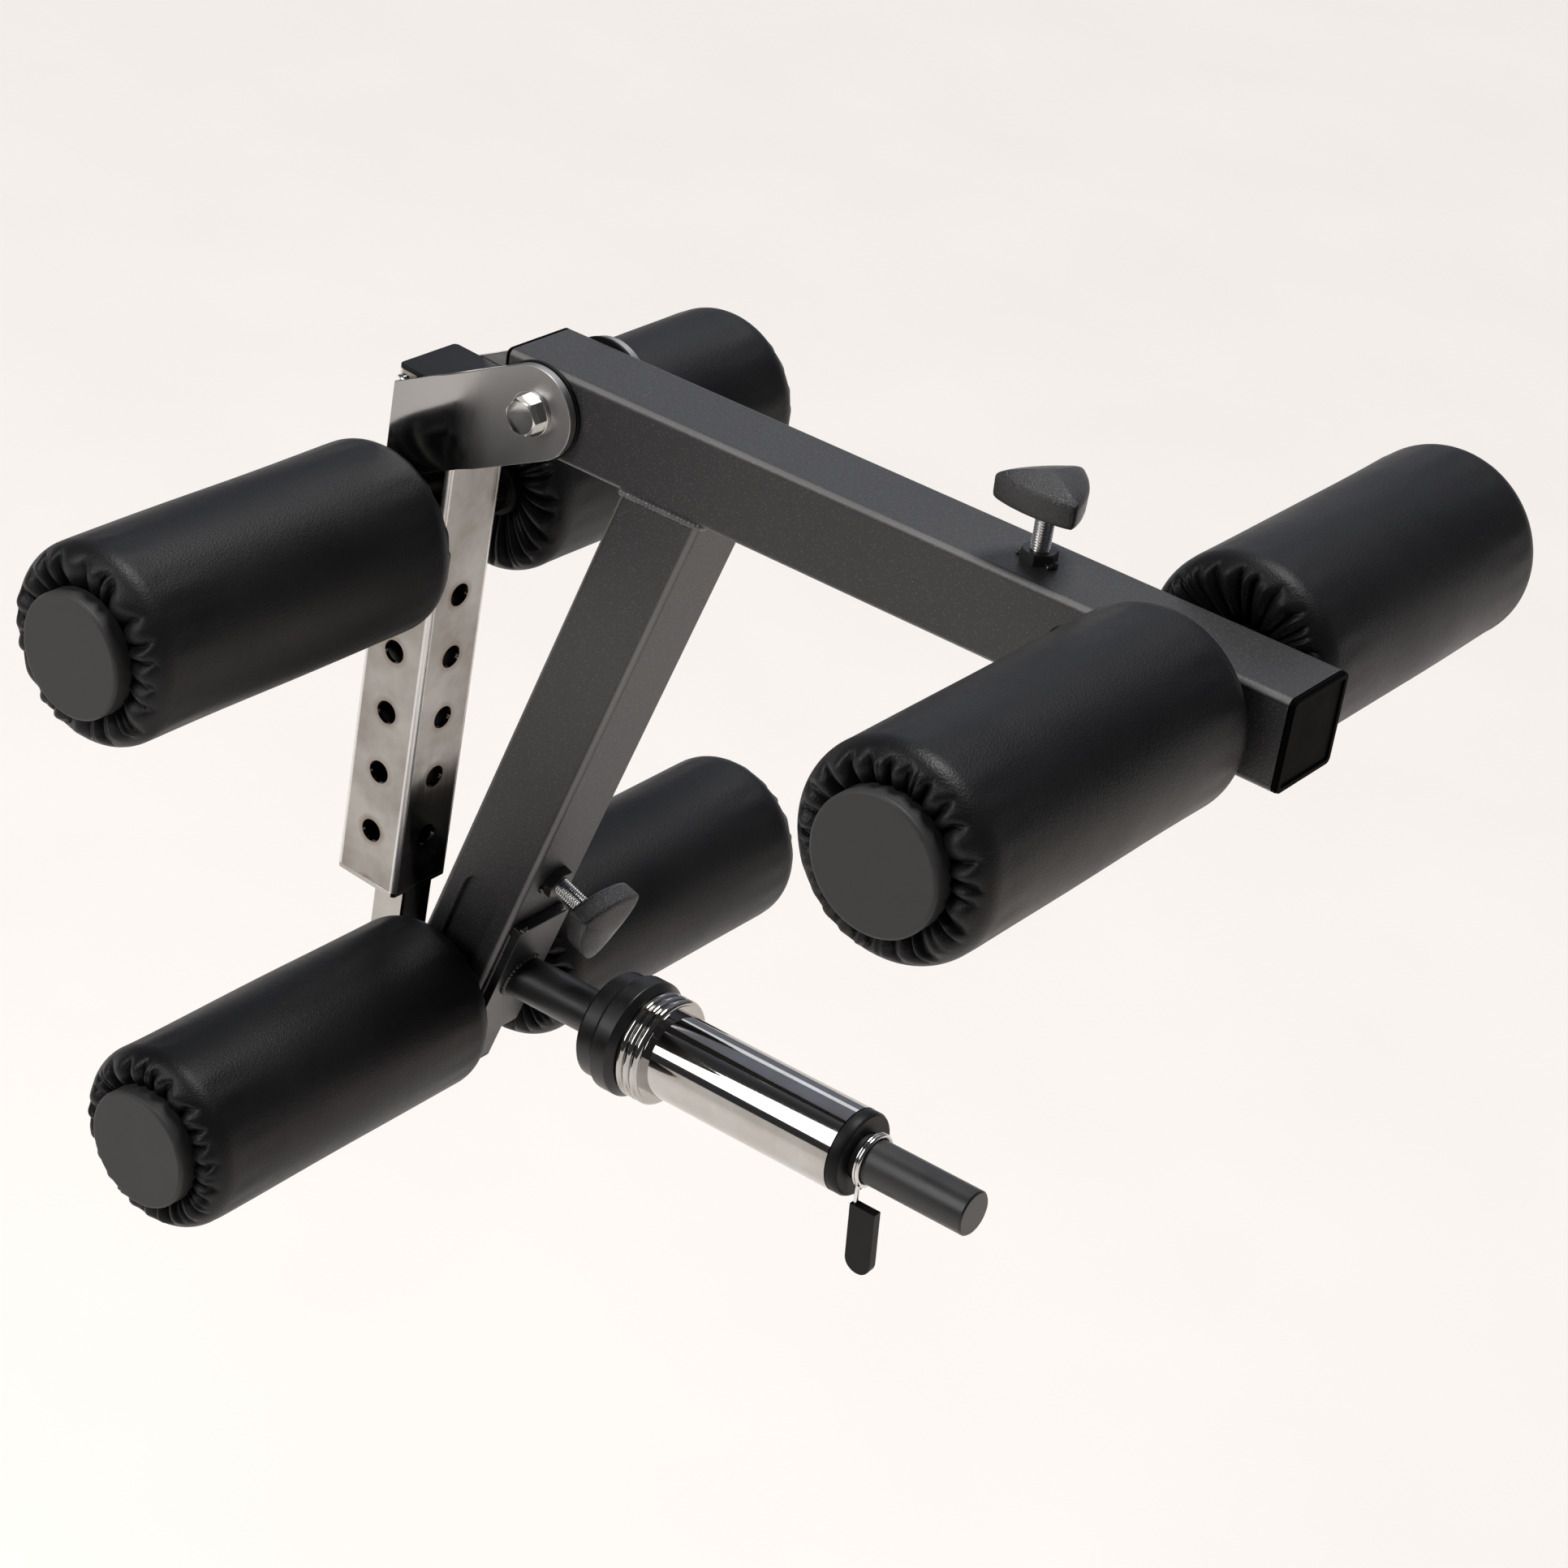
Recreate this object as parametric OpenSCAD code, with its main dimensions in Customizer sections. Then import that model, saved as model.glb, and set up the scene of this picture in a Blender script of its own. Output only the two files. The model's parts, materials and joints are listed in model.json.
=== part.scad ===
// Weight-bench leg developer: a square post that drops into a bench, a pivoting
// lever with a lower arm, three pairs of foam rollers and a loading bar with a sleeve.
// Origin: post centre line at its top lock hole. +X along the lever, +Z up the post.
// Lengths are in millimetres and angles in degrees.

/* [Post] */
// Outside width of the square post
post_w = 45; // [42:0.5:46]
// Wall of the post tube
post_wall = 2.5; // [2:0.5:3]
// Height of the post's top end above the top lock hole
post_above = 128; // [126:1:130]
// Depth of the post's bottom end below the top lock hole
post_below = 193; // [190:1:200]
// Diameter of the lock holes
lock_hole_d = 14; // [10:0.5:16]
// Distance between lock holes
lock_pitch = 40; // [36:1:40]
// Number of lock hole levels
lock_count = 5; // [3:1:5]
// Height of the knee roller pipe above the top lock hole
knee_pipe_z = 43; // [42:1:45]
// Width of the square stop stub under the post
stub_w = 24; // [20:1:26]
// Length of the stop stub below the foot plate
stub_len = 104; // [100:1:106]

/* [Pivot] */
// Pivot axis in front of the post's centre line
pivot_x = 79.8; // [79:0.2:81]
// Pivot axis above the top lock hole
pivot_z = 147.3; // [147:0.1:149]
// Width of the clevis ears and of their round ends
ear_w = 52; // [50:1:54]
// Thickness of the clevis ears
ear_t = 5; // [4:0.5:5.5]
// Slope of the clevis ears
ear_rise = 29; // [28:0.5:30]
// Shank diameter of the pivot bolt
bolt_d = 12; // [10:1:12]

/* [Lever] */
// Outside width of the lever and arm tubes
tube_w = 50; // [50:0.5:51]
// Wall of the lever and arm tubes
tube_wall = 2.5; // [2:0.5:3]
// Slope of the lever at rest
lever_rise = 3; // [2:0.5:4]
// Length of the lever behind the pivot
lever_tail = 24.8; // [24:0.2:26]
// Length of the lever in front of the pivot
lever_len = 455.2; // [452:0.2:458]
// Lower arm's centre line at the lever's underside, in front of the pivot
arm_x = 83.7; // [82:0.1:85]
// Lean of the lower arm from upright
arm_lean = 15.3; // [15:0.1:15.6]
// Length of the lower arm along its centre line
arm_len = 427; // [424:1:428]
// Clamp knob on the lever, from the pivot
lever_knob_s = 296.4; // [290:0.2:300]
// Clamp knob on the arm, from the lever
arm_knob_s = 264; // [258:1:266]

/* [Rollers] */
// Outside diameter of the padded rollers
roller_d = 104; // [96:1:106]
// Length of the padded rollers
roller_len = 214; // [200:1:216]
// Outside diameter of the roller pipes
pipe_d = 25; // [25:0.2:25.4]
// Diameter of the end cap flanges
cap_d = 68; // [60:1:72]
// Upper rollers on the lever, from the pivot
lever_roller_s = 393.7; // [388:0.1:398]
// Lower rollers on the arm, from the lever
arm_roller_s = 370.5; // [365:0.5:375]
// Inner end of the knee rollers, from the middle
knee_inner_y = 46; // [42:1:50]
// Inner end of the lever and arm rollers, from the middle
side_inner_y = 34; // [30:1:36]

/* [Loading bar] */
// Diameter of the loading bar
bar_d = 26.5; // [25:0.5:28]
// Length of the loading bar from the arm's front face
bar_len = 330; // [320:1:340]
// Loading bar on the arm, from the lever
bar_s = 341; // [338:1:344]
// Upward tilt of the loading bar
bar_rise = 4.6; // [4:0.2:5]
// Diameter of the chrome sleeve
sleeve_d = 50; // [48:0.5:50]

/* [Hidden] */
$fn = 64;
tiny = 0.01;
far = 400;
post_in = post_w / 2 - post_wall;
tube_in = tube_w / 2 - tube_wall;
corner_r = 4;
post_corner_r = 3;
cap_plate_t = 2.5;
cap_plug_len = 12;

// Pivot stack, measured across from the middle of the lever.
bush_flange_t = 1.8;
bush_flange_d = 54;
bush_d = 16;
run_gap = 0.12;
bush_bore_d = bolt_d + run_gap;
bush_len = 22;
pivot_tube_d = 22;
side_gap = 0.3;
ear_in_y = tube_w / 2 + bush_flange_t + side_gap;
ear_out_y = ear_in_y + ear_t;
ear_back_x = -20;
ear_bend_u = 68.8;
ear_flare_len = 16;
washer_t = 2.4;
washer_d = 25;
bolt_af = 18;
bolt_head_h = 7.5;
nut_h = 8;
nut_collar_h = 3.5;
bolt_tail = 2;
bolt_gap = 0.2;

// Carriages that carry the upper and lower roller pipes inside the tubes.
slider_w = 2 * tube_in - 2 * side_gap;
slider_wall = 3;
slider_back = 135;
slider_front = 20;
slot_w = pipe_d + 1;
lever_slot = [323, 433];
arm_slot = [278, 405];

// Clamp knobs: stud, welded nut and three-cornered head.
stud_d = 10;
stud_bore_d = stud_d + 0.1;
stud_hole_d = stud_bore_d + 1;
weld_nut_af = 17;
weld_nut_h = 6;
weld_nut_turn = [-13, 19];
knob_gap = 28.5;
knob_wall_h = 12;
knob_corner_d = 55;
knob_side_at = 18.5;
knob_side_r = 66;
knob_side_half = 17.5;
// Height of each layer of the knob's head and how far its outline shrinks there.
knob_layers = [[0, 1.2], [1.2, 0], [knob_wall_h, 0], [knob_wall_h + 2, 1.2],
    [knob_wall_h + 4.5, 5], [knob_wall_h + 6, 9], [knob_wall_h + 6.8, 13]];

// Rollers.
cover_t = 1.6;
shoulder_r = 11;
core_d = 31;
core_bore_d = pipe_d + 0.1;
cap_t = 11;
cap_gap = 0.4;
cap_plug_d = 20;
pipe_plug_len = 20;
cap_edge_r = 2;

// Loading bar fittings, measured along the bar from the arm's front face.
bar_edge = 1;
plate_t = 7;
plate_w = 42;
plate_len = 96;
bumper_at = 76;
bumper_small_d = 64;
bumper_big_d = 70;
bumper_step = 13;
bumper_len = 28.5;
bumper_edge = 2;
sleeve_at = bumper_at + bumper_len + side_gap;
ring_pitch = 5;
ring_count = 3;
ring_lip = 0.5;
ring_rise = 4.5;
ring_band_len = ring_count * ring_pitch + 2 * ring_lip;
sleeve_end_at = 248;
sleeve_wall = 2;
sleeve_bore_d = sleeve_d - 2 * sleeve_wall;
bush_on_bar_d = bar_d + run_gap;
end_plug_t = 8;
end_plug_d = sleeve_d - 0.4;
end_plug_edge = 2;
end_plug_depth = 14;
coil_wire_d = 3;
coil_pitch = coil_wire_d - 0.15;
coil_at = sleeve_end_at + end_plug_t + 3;
coil_bore_d = bar_d + run_gap;
coil_mid_r = (coil_bore_d + coil_wire_d) / 2;
leg_d = 2.5;
leg_gap = 0.02;
leg_side = 9.8;
leg_hold = 10;
// Turns of the wire's two ends round the bar, each with the side its leg leaves on.
grips = [[3.3, -1], [51, 1]];
grip_at = 24;
grip_len = 44;
grip_w = 17;
grip_t = 5.4;
grip_back = 2.1;

// ---- frames ----------------------------------------------------------------

// Lever frame: origin on the pivot, X along the lever, Z out of its top face.
module in_lever()
    translate([pivot_x, 0, pivot_z])
        rotate([0, -lever_rise, 0])
            children();

// Arm frame: origin on the lever's underside, -Z down the arm, X out of its front.
module in_arm()
    translate([pivot_x + arm_x, 0, pivot_z - tube_w / 2])
        rotate([0, arm_lean, 0])
            children();

// Bar frame: origin on the arm's front face, Z along the loading bar.
module in_bar()
    in_arm()
        translate([tube_w / 2, 0, -bar_s])
            rotate([0, 90 - arm_lean - bar_rise, 0])
                children();

// Ear frame: origin on the pivot, X along the ear away from the post.
module in_ear()
    translate([pivot_x, 0, pivot_z])
        rotate([0, -ear_rise, 0])
            children();

// ---- shapes ----------------------------------------------------------------

module round_square(w, r) {
    square([w, w - 2 * r], center = true);
    square([w - 2 * r, w], center = true);
    for (x = [-1, 1], y = [-1, 1])
        translate([x * (w / 2 - r), y * (w / 2 - r)])
            circle(r);
}

// Square tube standing on Z = 0.
module square_tube(w, wall, len, r)
    linear_extrude(len)
        difference() {
            round_square(w, r);
            round_square(w - 2 * wall, r - wall / 2);
        }

// Cylinder across the object, along Y, between two places.
module rod_y(d, y0, y1)
    translate([0, y1, 0])
        rotate([90, 0, 0])
            cylinder(d = d, h = y1 - y0);

module ring_y(d, bore, y0, y1)
    difference() {
        rod_y(d, y0, y1);
        rod_y(bore, y0 - 1, y1 + 1);
    }

// Straight slot through both side walls, its two ends at a and b along Z.
module side_slot(a, b) {
    for (z = [a + slot_w / 2, b - slot_w / 2])
        translate([0, 0, z])
            rod_y(slot_w, -tube_w, tube_w);
    translate([-slot_w / 2, -tube_w, a + slot_w / 2])
        cube([slot_w, 2 * tube_w, b - a - slot_w]);
}

// Flanged plastic plug for a square tube, its flange from Z = 0 up.
module tube_plug(w, inner, r) {
    linear_extrude(cap_plate_t)
        round_square(w, r);
    translate([0, 0, -cap_plug_len])
        linear_extrude(cap_plug_len + tiny)
            round_square(2 * inner, r - 1);
}

module hexagon(af, h)
    cylinder(d = af / cos(30), h = h, $fn = 6);

// Hexagon with the corners of its top face turned down at 30 degrees.
module chamfered_hexagon(af, h)
    intersection() {
        hexagon(af, h);
        cylinder(d1 = af + 2 * h / tan(30), d2 = af, h = h);
    }

// ---- post ------------------------------------------------------------------

module post_tube()
    color("silver")
        difference() {
            translate([0, 0, -post_below])
                square_tube(post_w, post_wall, post_below + post_above, post_corner_r);
            for (i = [0 : lock_count - 1])
                translate([0, 0, -i * lock_pitch]) {
                    rod_y(lock_hole_d, -post_w, post_w);
                    rotate([0, 90, 0])
                        cylinder(d = lock_hole_d, h = 2 * post_w, center = true);
                }
            translate([0, 0, knee_pipe_z])
                rod_y(pipe_d, -post_w, post_w);
        }

module post_top_cap()
    color("black")
        translate([0, 0, post_above])
            tube_plug(post_w, post_in, post_corner_r);

stub_x = post_w / 2 - stub_w / 2;
stub_wall = 2;
stub_corner_r = 2.5;
foot_plate_t = 3;

// Square plate that closes the bottom of the post.
module foot_plate()
    color("silver")
        translate([0, 0, -post_below - foot_plate_t])
            linear_extrude(foot_plate_t)
                round_square(post_w, post_corner_r);

module stop_stub()
    color("silver")
        translate([stub_x, 0, -post_below - foot_plate_t - stub_len])
            square_tube(stub_w, stub_wall, stub_len, stub_corner_r);

// Rubber buffer: height above the stub's end, length, and inset from the stub's sides.
buffer_low = 12;
buffer_h = 24;
buffer_inset = 1;

// Rubber wedge that the arm's back face leans on at rest.
module stop_buffer() {
    bottom = -post_below - foot_plate_t - stub_len + buffer_low;
    back_x = post_w / 2;
    arm_back = pivot_x + arm_x - (tube_w / 2 + side_gap) / cos(arm_lean);
    lean = tan(arm_lean);
    top_z = pivot_z - tube_w / 2;
    front = [for (z = [bottom, bottom + buffer_h]) arm_back + (z - top_z) * lean];
    color("dimgray")
        translate([0, stub_w / 2 - buffer_inset, 0])
            rotate([90, 0, 0])
                linear_extrude(stub_w - 2 * buffer_inset)
                    polygon([
                        [back_x, bottom],
                        [front[0], bottom],
                        [front[1], bottom + buffer_h],
                        [back_x, bottom + buffer_h]]);
}

// Ear outline, seen from the side, in the ear frame.
module ear_outline()
    difference() {
        union() {
            circle(d = ear_w, $fn = 96);
            translate([-far / 2, -ear_w / 2])
                square([far / 2, ear_w]);
        }
        circle(d = bolt_d + 2 * bolt_gap);
    }

// Ear seen from above: flat on the post, flared out to clear the lever.
module ear_section() {
    y0 = post_w / 2;
    u1 = -ear_bend_u;
    u2 = u1 + ear_flare_len;
    polygon([
        [-far / 2, y0], [u1, y0], [u2, ear_in_y], [ear_w, ear_in_y],
        [ear_w, ear_out_y], [u2 - 1, ear_out_y], [u1 - 1, y0 + ear_t], [-far / 2, y0 + ear_t]]);
}

module ear()
    color("gainsboro")
        intersection() {
            in_ear()
                intersection() {
                    rotate([90, 0, 0])
                        linear_extrude(far, center = true)
                            ear_outline();
                    linear_extrude(far, center = true)
                        ear_section();
                }
            translate([ear_back_x, -far / 2, -far / 2])
                cube([far, far, far]);
        }

module ear_far() ear();

module ear_near()
    mirror([0, 1, 0])
        ear();

module pivot_bolt()
    color("lightgray")
        translate([pivot_x, 0, pivot_z]) {
            rod_y(bolt_d, -ear_out_y - washer_t, ear_out_y + washer_t + nut_h + nut_collar_h + bolt_tail);
            translate([0, -ear_out_y - washer_t, 0])
                rotate([90, 0, 0])
                    chamfered_hexagon(bolt_af, bolt_head_h);
        }

module pivot_washers()
    color("lightgray")
        for (y = [-ear_out_y - washer_t, ear_out_y])
            translate([pivot_x, 0, pivot_z])
                ring_y(washer_d, bolt_d, y, y + washer_t);

module pivot_lock_nut() {
    y0 = ear_out_y + washer_t;
    color("lightgray")
        translate([pivot_x, 0, pivot_z])
            difference() {
                union() {
                    translate([0, y0, 0])
                        rotate([-90, 0, 0])
                            hexagon(bolt_af, nut_h);
                    rod_y(bolt_af - 1.5, y0, y0 + nut_h + nut_collar_h);
                }
                rod_y(bolt_d, y0 - 1, y0 + nut_h + nut_collar_h + 1);
            }
}

// ---- lever -----------------------------------------------------------------

module lever_tube()
    color("dimgray")
        in_lever()
            difference() {
                translate([-lever_tail, 0, 0])
                    rotate([0, 90, 0])
                        square_tube(tube_w, tube_wall, lever_tail + lever_len, corner_r);
                rotate([0, 90, 0])
                    side_slot(lever_slot[0], lever_slot[1]);
                rod_y(pivot_tube_d, -tube_w, tube_w);
                translate([lever_knob_s, 0, 0])
                    cylinder(d = stud_hole_d, h = tube_w);
            }

module lower_arm()
    color("dimgray")
        difference() {
            in_arm()
                difference() {
                    translate([0, 0, -arm_len])
                        square_tube(tube_w, tube_wall, arm_len + tube_w, corner_r);
                    translate([0, 0, -arm_slot[0] - arm_slot[1]])
                        side_slot(arm_slot[0], arm_slot[1]);
                    translate([0, 0, -arm_knob_s])
                        rotate([0, 90, 0])
                            cylinder(d = stud_hole_d, h = tube_w);
                }
            in_lever()
                translate([-far / 2, -far / 2, -tube_w / 2])
                    cube([far, far, far]);
        }

// Band of weld round the arm's top end, under the lever.
weld_h = 3.5;
weld_out = 3.5;

module arm_weld()
    color("dimgray")
        intersection() {
            in_arm()
                translate([0, 0, -tube_w / 2])
                    linear_extrude(tube_w)
                        difference() {
                            square([tube_w + 2 * weld_out, tube_w + 1], center = true);
                            round_square(tube_w, corner_r);
                        }
            in_lever()
                translate([0, -tube_w, -tube_w / 2 - weld_h])
                    cube([3 * tube_w, 2 * tube_w, weld_h]);
        }

module lever_rear_cap()
    color("black")
        in_lever()
            translate([-lever_tail, 0, 0])
                rotate([0, -90, 0])
                    tube_plug(tube_w, tube_in, corner_r);

module lever_front_cap()
    color("black")
        in_lever()
            translate([lever_len, 0, 0])
                rotate([0, 90, 0])
                    tube_plug(tube_w, tube_in, corner_r);

module arm_foot_cap()
    color("black")
        in_arm()
            translate([0, 0, -arm_len])
                rotate([180, 0, 0])
                    tube_plug(tube_w, tube_in, corner_r);

module pivot_tube()
    color("dimgray")
        in_lever()
            ring_y(pivot_tube_d, bush_d, -tube_w / 2, tube_w / 2);

// Flanged plastic bushes that turn on the bolt, one from each side.
module pivot_bushes()
    color("black")
        in_lever()
            for (side = [0, 1])
                mirror([0, side, 0]) {
                    ring_y(bush_d, bush_bore_d, tube_w / 2 - bush_len, tube_w / 2 + tiny);
                    ring_y(bush_flange_d, bush_bore_d, tube_w / 2, tube_w / 2 + bush_flange_t);
                }

// Hexagon nut welded over the clamp screw's hole, standing on Z = 0.
module weld_nut(turn)
    difference() {
        rotate(turn)
            chamfered_hexagon(weld_nut_af, weld_nut_h);
        translate([0, 0, -1])
            cylinder(d = stud_bore_d, h = weld_nut_h + 2);
    }

module weld_nuts()
    color("black") {
        in_lever()
            translate([lever_knob_s, 0, tube_w / 2])
                weld_nut(weld_nut_turn[0]);
        in_arm()
            translate([tube_w / 2, 0, -arm_knob_s])
                rotate([0, 90, 0])
                    weld_nut(weld_nut_turn[1]);
    }

module bar_base_plate()
    color("black")
        difference() {
            in_arm()
                translate([tube_w / 2, -plate_w / 2, -bar_s - plate_len / 2])
                    cube([plate_t, plate_w, plate_len]);
            in_bar()
                translate([0, 0, -far / 2])
                    cylinder(d = bar_d, h = far);
        }

// Loading bar, cut to sit on the arm's front face.
module loading_bar()
    color("#232323")
        difference() {
            in_bar()
                union() {
                    translate([0, 0, -bar_d])
                        cylinder(d = bar_d, h = bar_len + bar_d - bar_edge);
                    translate([0, 0, bar_len - bar_edge])
                        cylinder(d1 = bar_d, d2 = bar_d - 2 * bar_edge, h = bar_edge);
                }
            in_arm()
                translate([tube_w / 2 - far, -far / 2, -far * 1.5])
                    cube([far, far, far * 2]);
        }

// Two-step rubber bumper with softened edges.
module bar_bumper()
    color("black")
        in_bar()
            translate([0, 0, bumper_at])
                rotate_extrude($fn = 96)
                    polygon([
                        [bar_d / 2, 0],
                        [bumper_small_d / 2 - bumper_edge, 0],
                        [bumper_small_d / 2, bumper_edge],
                        [bumper_small_d / 2, bumper_step - bumper_edge / 2],
                        [bumper_big_d / 2 - bumper_edge / 2, bumper_step],
                        [bumper_big_d / 2, bumper_step + bumper_edge / 2],
                        [bumper_big_d / 2, bumper_len - 2 * bumper_edge],
                        [bumper_big_d / 2 - 2 * bumper_edge, bumper_len],
                        [bar_d / 2, bumper_len]]);

// ---- roller pipes, sliders and caps ------------------------------------------

// Square slider tube along Z, its pipe hole at the origin.
module slider()
    difference() {
        translate([0, 0, -slider_back])
            square_tube(slider_w, slider_wall, slider_back + slider_front, corner_r - 1.2);
        rod_y(pipe_d, -tube_w, tube_w);
    }

// Pipe across the object with open ends, for rollers that start at inner_y.
module roller_pipe(inner_y) {
    end_y = inner_y + roller_len + cap_gap;
    ring_y(pipe_d, cap_plug_d, -end_y, end_y);
}

// A flanged cap in each end of a roller pipe.
module pipe_caps(inner_y)
    for (side = [0, 1])
        mirror([0, side, 0])
            translate([0, inner_y + roller_len + cap_gap, 0])
                rotate([-90, 0, 0])
                    union() {
                        rotate_extrude($fn = 96)
                            difference() {
                                square([cap_d / 2, cap_t]);
                                translate([cap_d / 2 - cap_edge_r, cap_t - cap_edge_r])
                                    difference() {
                                        square(cap_edge_r + 1);
                                        circle(cap_edge_r, $fn = 32);
                                    }
                            }
                        translate([0, 0, -pipe_plug_len])
                            cylinder(d = cap_plug_d, h = pipe_plug_len + tiny);
                    }

module at_knee()
    translate([0, 0, knee_pipe_z])
        children();

module at_upper()
    in_lever()
        translate([lever_roller_s, 0, 0])
            children();

module at_lower()
    in_arm()
        translate([0, 0, -arm_roller_s])
            children();

module knee_pipe()
    color("silver")
        at_knee()
            roller_pipe(knee_inner_y);

module knee_pipe_caps()
    color("#3a3a3c")
        at_knee()
            pipe_caps(knee_inner_y);

module upper_slider()
    color("silver")
        at_upper()
            rotate([0, 90, 0])
                slider();

module upper_pipe()
    color("silver")
        at_upper()
            roller_pipe(side_inner_y);

module upper_pipe_caps()
    color("#3a3a3c")
        at_upper()
            pipe_caps(side_inner_y);

module lower_slider()
    color("silver")
        at_lower()
            mirror([0, 0, 1])
                slider();

module lower_pipe()
    color("silver")
        at_lower()
            roller_pipe(side_inner_y);

module lower_pipe_caps()
    color("#3a3a3c")
        at_lower()
            pipe_caps(side_inner_y);

// ---- clamp knobs -------------------------------------------------------------

// Stud along Z from inside the tube wall to the knob head, in the knob's frame.
module knob_stud()
    translate([0, 0, -tube_wall])
        cylinder(d = stud_d, h = knob_gap + tube_wall);

// Outline of the head: three bulging sides and three blunt corners.
function knob_points(shrink) = [
    for (i = [0 : 2]) each concat(
        [for (t = [-1 : 0.25 : 1])
            let (dir = i * 120 + 30, a = dir + t * knob_side_half, r = knob_side_r - shrink)
            [(knob_side_at - knob_side_r) * cos(dir) + r * cos(a),
             (knob_side_at - knob_side_r) * sin(dir) + r * sin(a)]],
        [(knob_corner_d / 2 - shrink) * [cos(i * 120 + 90), sin(i * 120 + 90)]])];

// Three-cornered head standing on Z = 0, one corner towards +Y.
module knob_head()
    hull()
        for (layer = knob_layers)
            translate([0, 0, layer[0]])
                linear_extrude(0.05)
                    polygon(knob_points(layer[1]));

module at_upper_knob()
    in_lever()
        translate([lever_knob_s, 0, tube_w / 2])
            children();

module at_lower_knob()
    in_arm()
        translate([tube_w / 2, 0, -arm_knob_s])
            rotate([0, 90, 0])
                children();

module upper_knob_stud()
    color("lightgray")
        at_upper_knob()
            knob_stud();

module upper_knob_head()
    color("#202022")
        at_upper_knob()
            translate([0, 0, knob_gap])
                knob_head();

module lower_knob_stud()
    color("lightgray")
        at_lower_knob()
            knob_stud();

module lower_knob_head()
    color("#202022")
        at_lower_knob()
            translate([0, 0, knob_gap])
                rotate(-90)
                    knob_head();

// ---- padded rollers ------------------------------------------------------------

// Half section of a roller's inside or outside, radius across and length up.
module roller_section(inset)
    rounded_half(roller_d / 2 - inset, roller_len - 2 * inset, shoulder_r - inset);

// Rectangle from the axis out, with its two outer corners rounded.
module rounded_half(radius, len, r) {
    square([radius - r, len]);
    translate([0, r])
        square([radius, len - 2 * r]);
    for (y = [r, len - r])
        translate([radius - r, y])
            circle(r, $fn = 48);
}

// Places a roller made along +Z on its pipe, near (-1) or far (1) side.
module roller_at(inner_y, side)
    translate([0, side * inner_y, 0])
        rotate([side * -90, 0, 0])
            children();

module roller_core()
    difference() {
        cylinder(d = core_d, h = roller_len);
        translate([0, 0, -1])
            cylinder(d = core_bore_d, h = roller_len + 2);
    }

module roller_foam()
    rotate_extrude($fn = 96)
        difference() {
            translate([0, cover_t])
                roller_section(cover_t);
            translate([0, -1])
                square([core_d / 2, roller_len + 2]);
        }

module roller_cover()
    rotate_extrude($fn = 96)
        difference() {
            roller_section(0);
            translate([0, cover_t])
                roller_section(cover_t);
            translate([0, -1])
                square([core_d / 2, roller_len + 2]);
        }

module core_colour() color("#8a7a60") children();
module foam_colour() color("#4a4a4a") children();
module cover_colour() color("#18181a") children();

module knee_near_core() core_colour() at_knee() roller_at(knee_inner_y, -1) roller_core();
module knee_near_foam() foam_colour() at_knee() roller_at(knee_inner_y, -1) roller_foam();
module knee_near_cover() cover_colour() at_knee() roller_at(knee_inner_y, -1) roller_cover();
module knee_far_core() core_colour() at_knee() roller_at(knee_inner_y, 1) roller_core();
module knee_far_foam() foam_colour() at_knee() roller_at(knee_inner_y, 1) roller_foam();
module knee_far_cover() cover_colour() at_knee() roller_at(knee_inner_y, 1) roller_cover();
module upper_near_core() core_colour() at_upper() roller_at(side_inner_y, -1) roller_core();
module upper_near_foam() foam_colour() at_upper() roller_at(side_inner_y, -1) roller_foam();
module upper_near_cover() cover_colour() at_upper() roller_at(side_inner_y, -1) roller_cover();
module upper_far_core() core_colour() at_upper() roller_at(side_inner_y, 1) roller_core();
module upper_far_foam() foam_colour() at_upper() roller_at(side_inner_y, 1) roller_foam();
module upper_far_cover() cover_colour() at_upper() roller_at(side_inner_y, 1) roller_cover();
module lower_near_core() core_colour() at_lower() roller_at(side_inner_y, -1) roller_core();
module lower_near_foam() foam_colour() at_lower() roller_at(side_inner_y, -1) roller_foam();
module lower_near_cover() cover_colour() at_lower() roller_at(side_inner_y, -1) roller_cover();
module lower_far_core() core_colour() at_lower() roller_at(side_inner_y, 1) roller_core();
module lower_far_foam() foam_colour() at_lower() roller_at(side_inner_y, 1) roller_foam();
module lower_far_cover() cover_colour() at_lower() roller_at(side_inner_y, 1) roller_cover();

// ---- sleeve and spring collar --------------------------------------------------

module sleeve_tube()
    color("gainsboro")
        in_bar()
            translate([0, 0, sleeve_at + ring_band_len])
                difference() {
                    cylinder(d = sleeve_d, h = sleeve_end_at - sleeve_at - ring_band_len, $fn = 96);
                    translate([0, 0, -1])
                        cylinder(d = sleeve_bore_d, h = far, $fn = 96);
                }

// Three beads side by side round the sleeve's inner end.
module sleeve_rings()
    color("gainsboro")
        in_bar()
            translate([0, 0, sleeve_at])
                rotate_extrude($fn = 96)
                    difference() {
                        union() {
                            square([sleeve_d / 2 + ring_rise, ring_band_len]);
                            for (i = [0 : ring_count - 1])
                                translate([sleeve_d / 2 + ring_rise, (i + 0.5) * ring_pitch + ring_lip])
                                    circle(d = ring_pitch, $fn = 32);
                        }
                        translate([0, -1])
                            square([sleeve_bore_d / 2, far]);
                    }

module sleeve_inner_bush()
    color("black")
        in_bar()
            translate([0, 0, sleeve_at])
                difference() {
                    cylinder(d = sleeve_bore_d, h = end_plug_depth, $fn = 96);
                    translate([0, 0, -1])
                        cylinder(d = bush_on_bar_d, h = far);
                }

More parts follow.
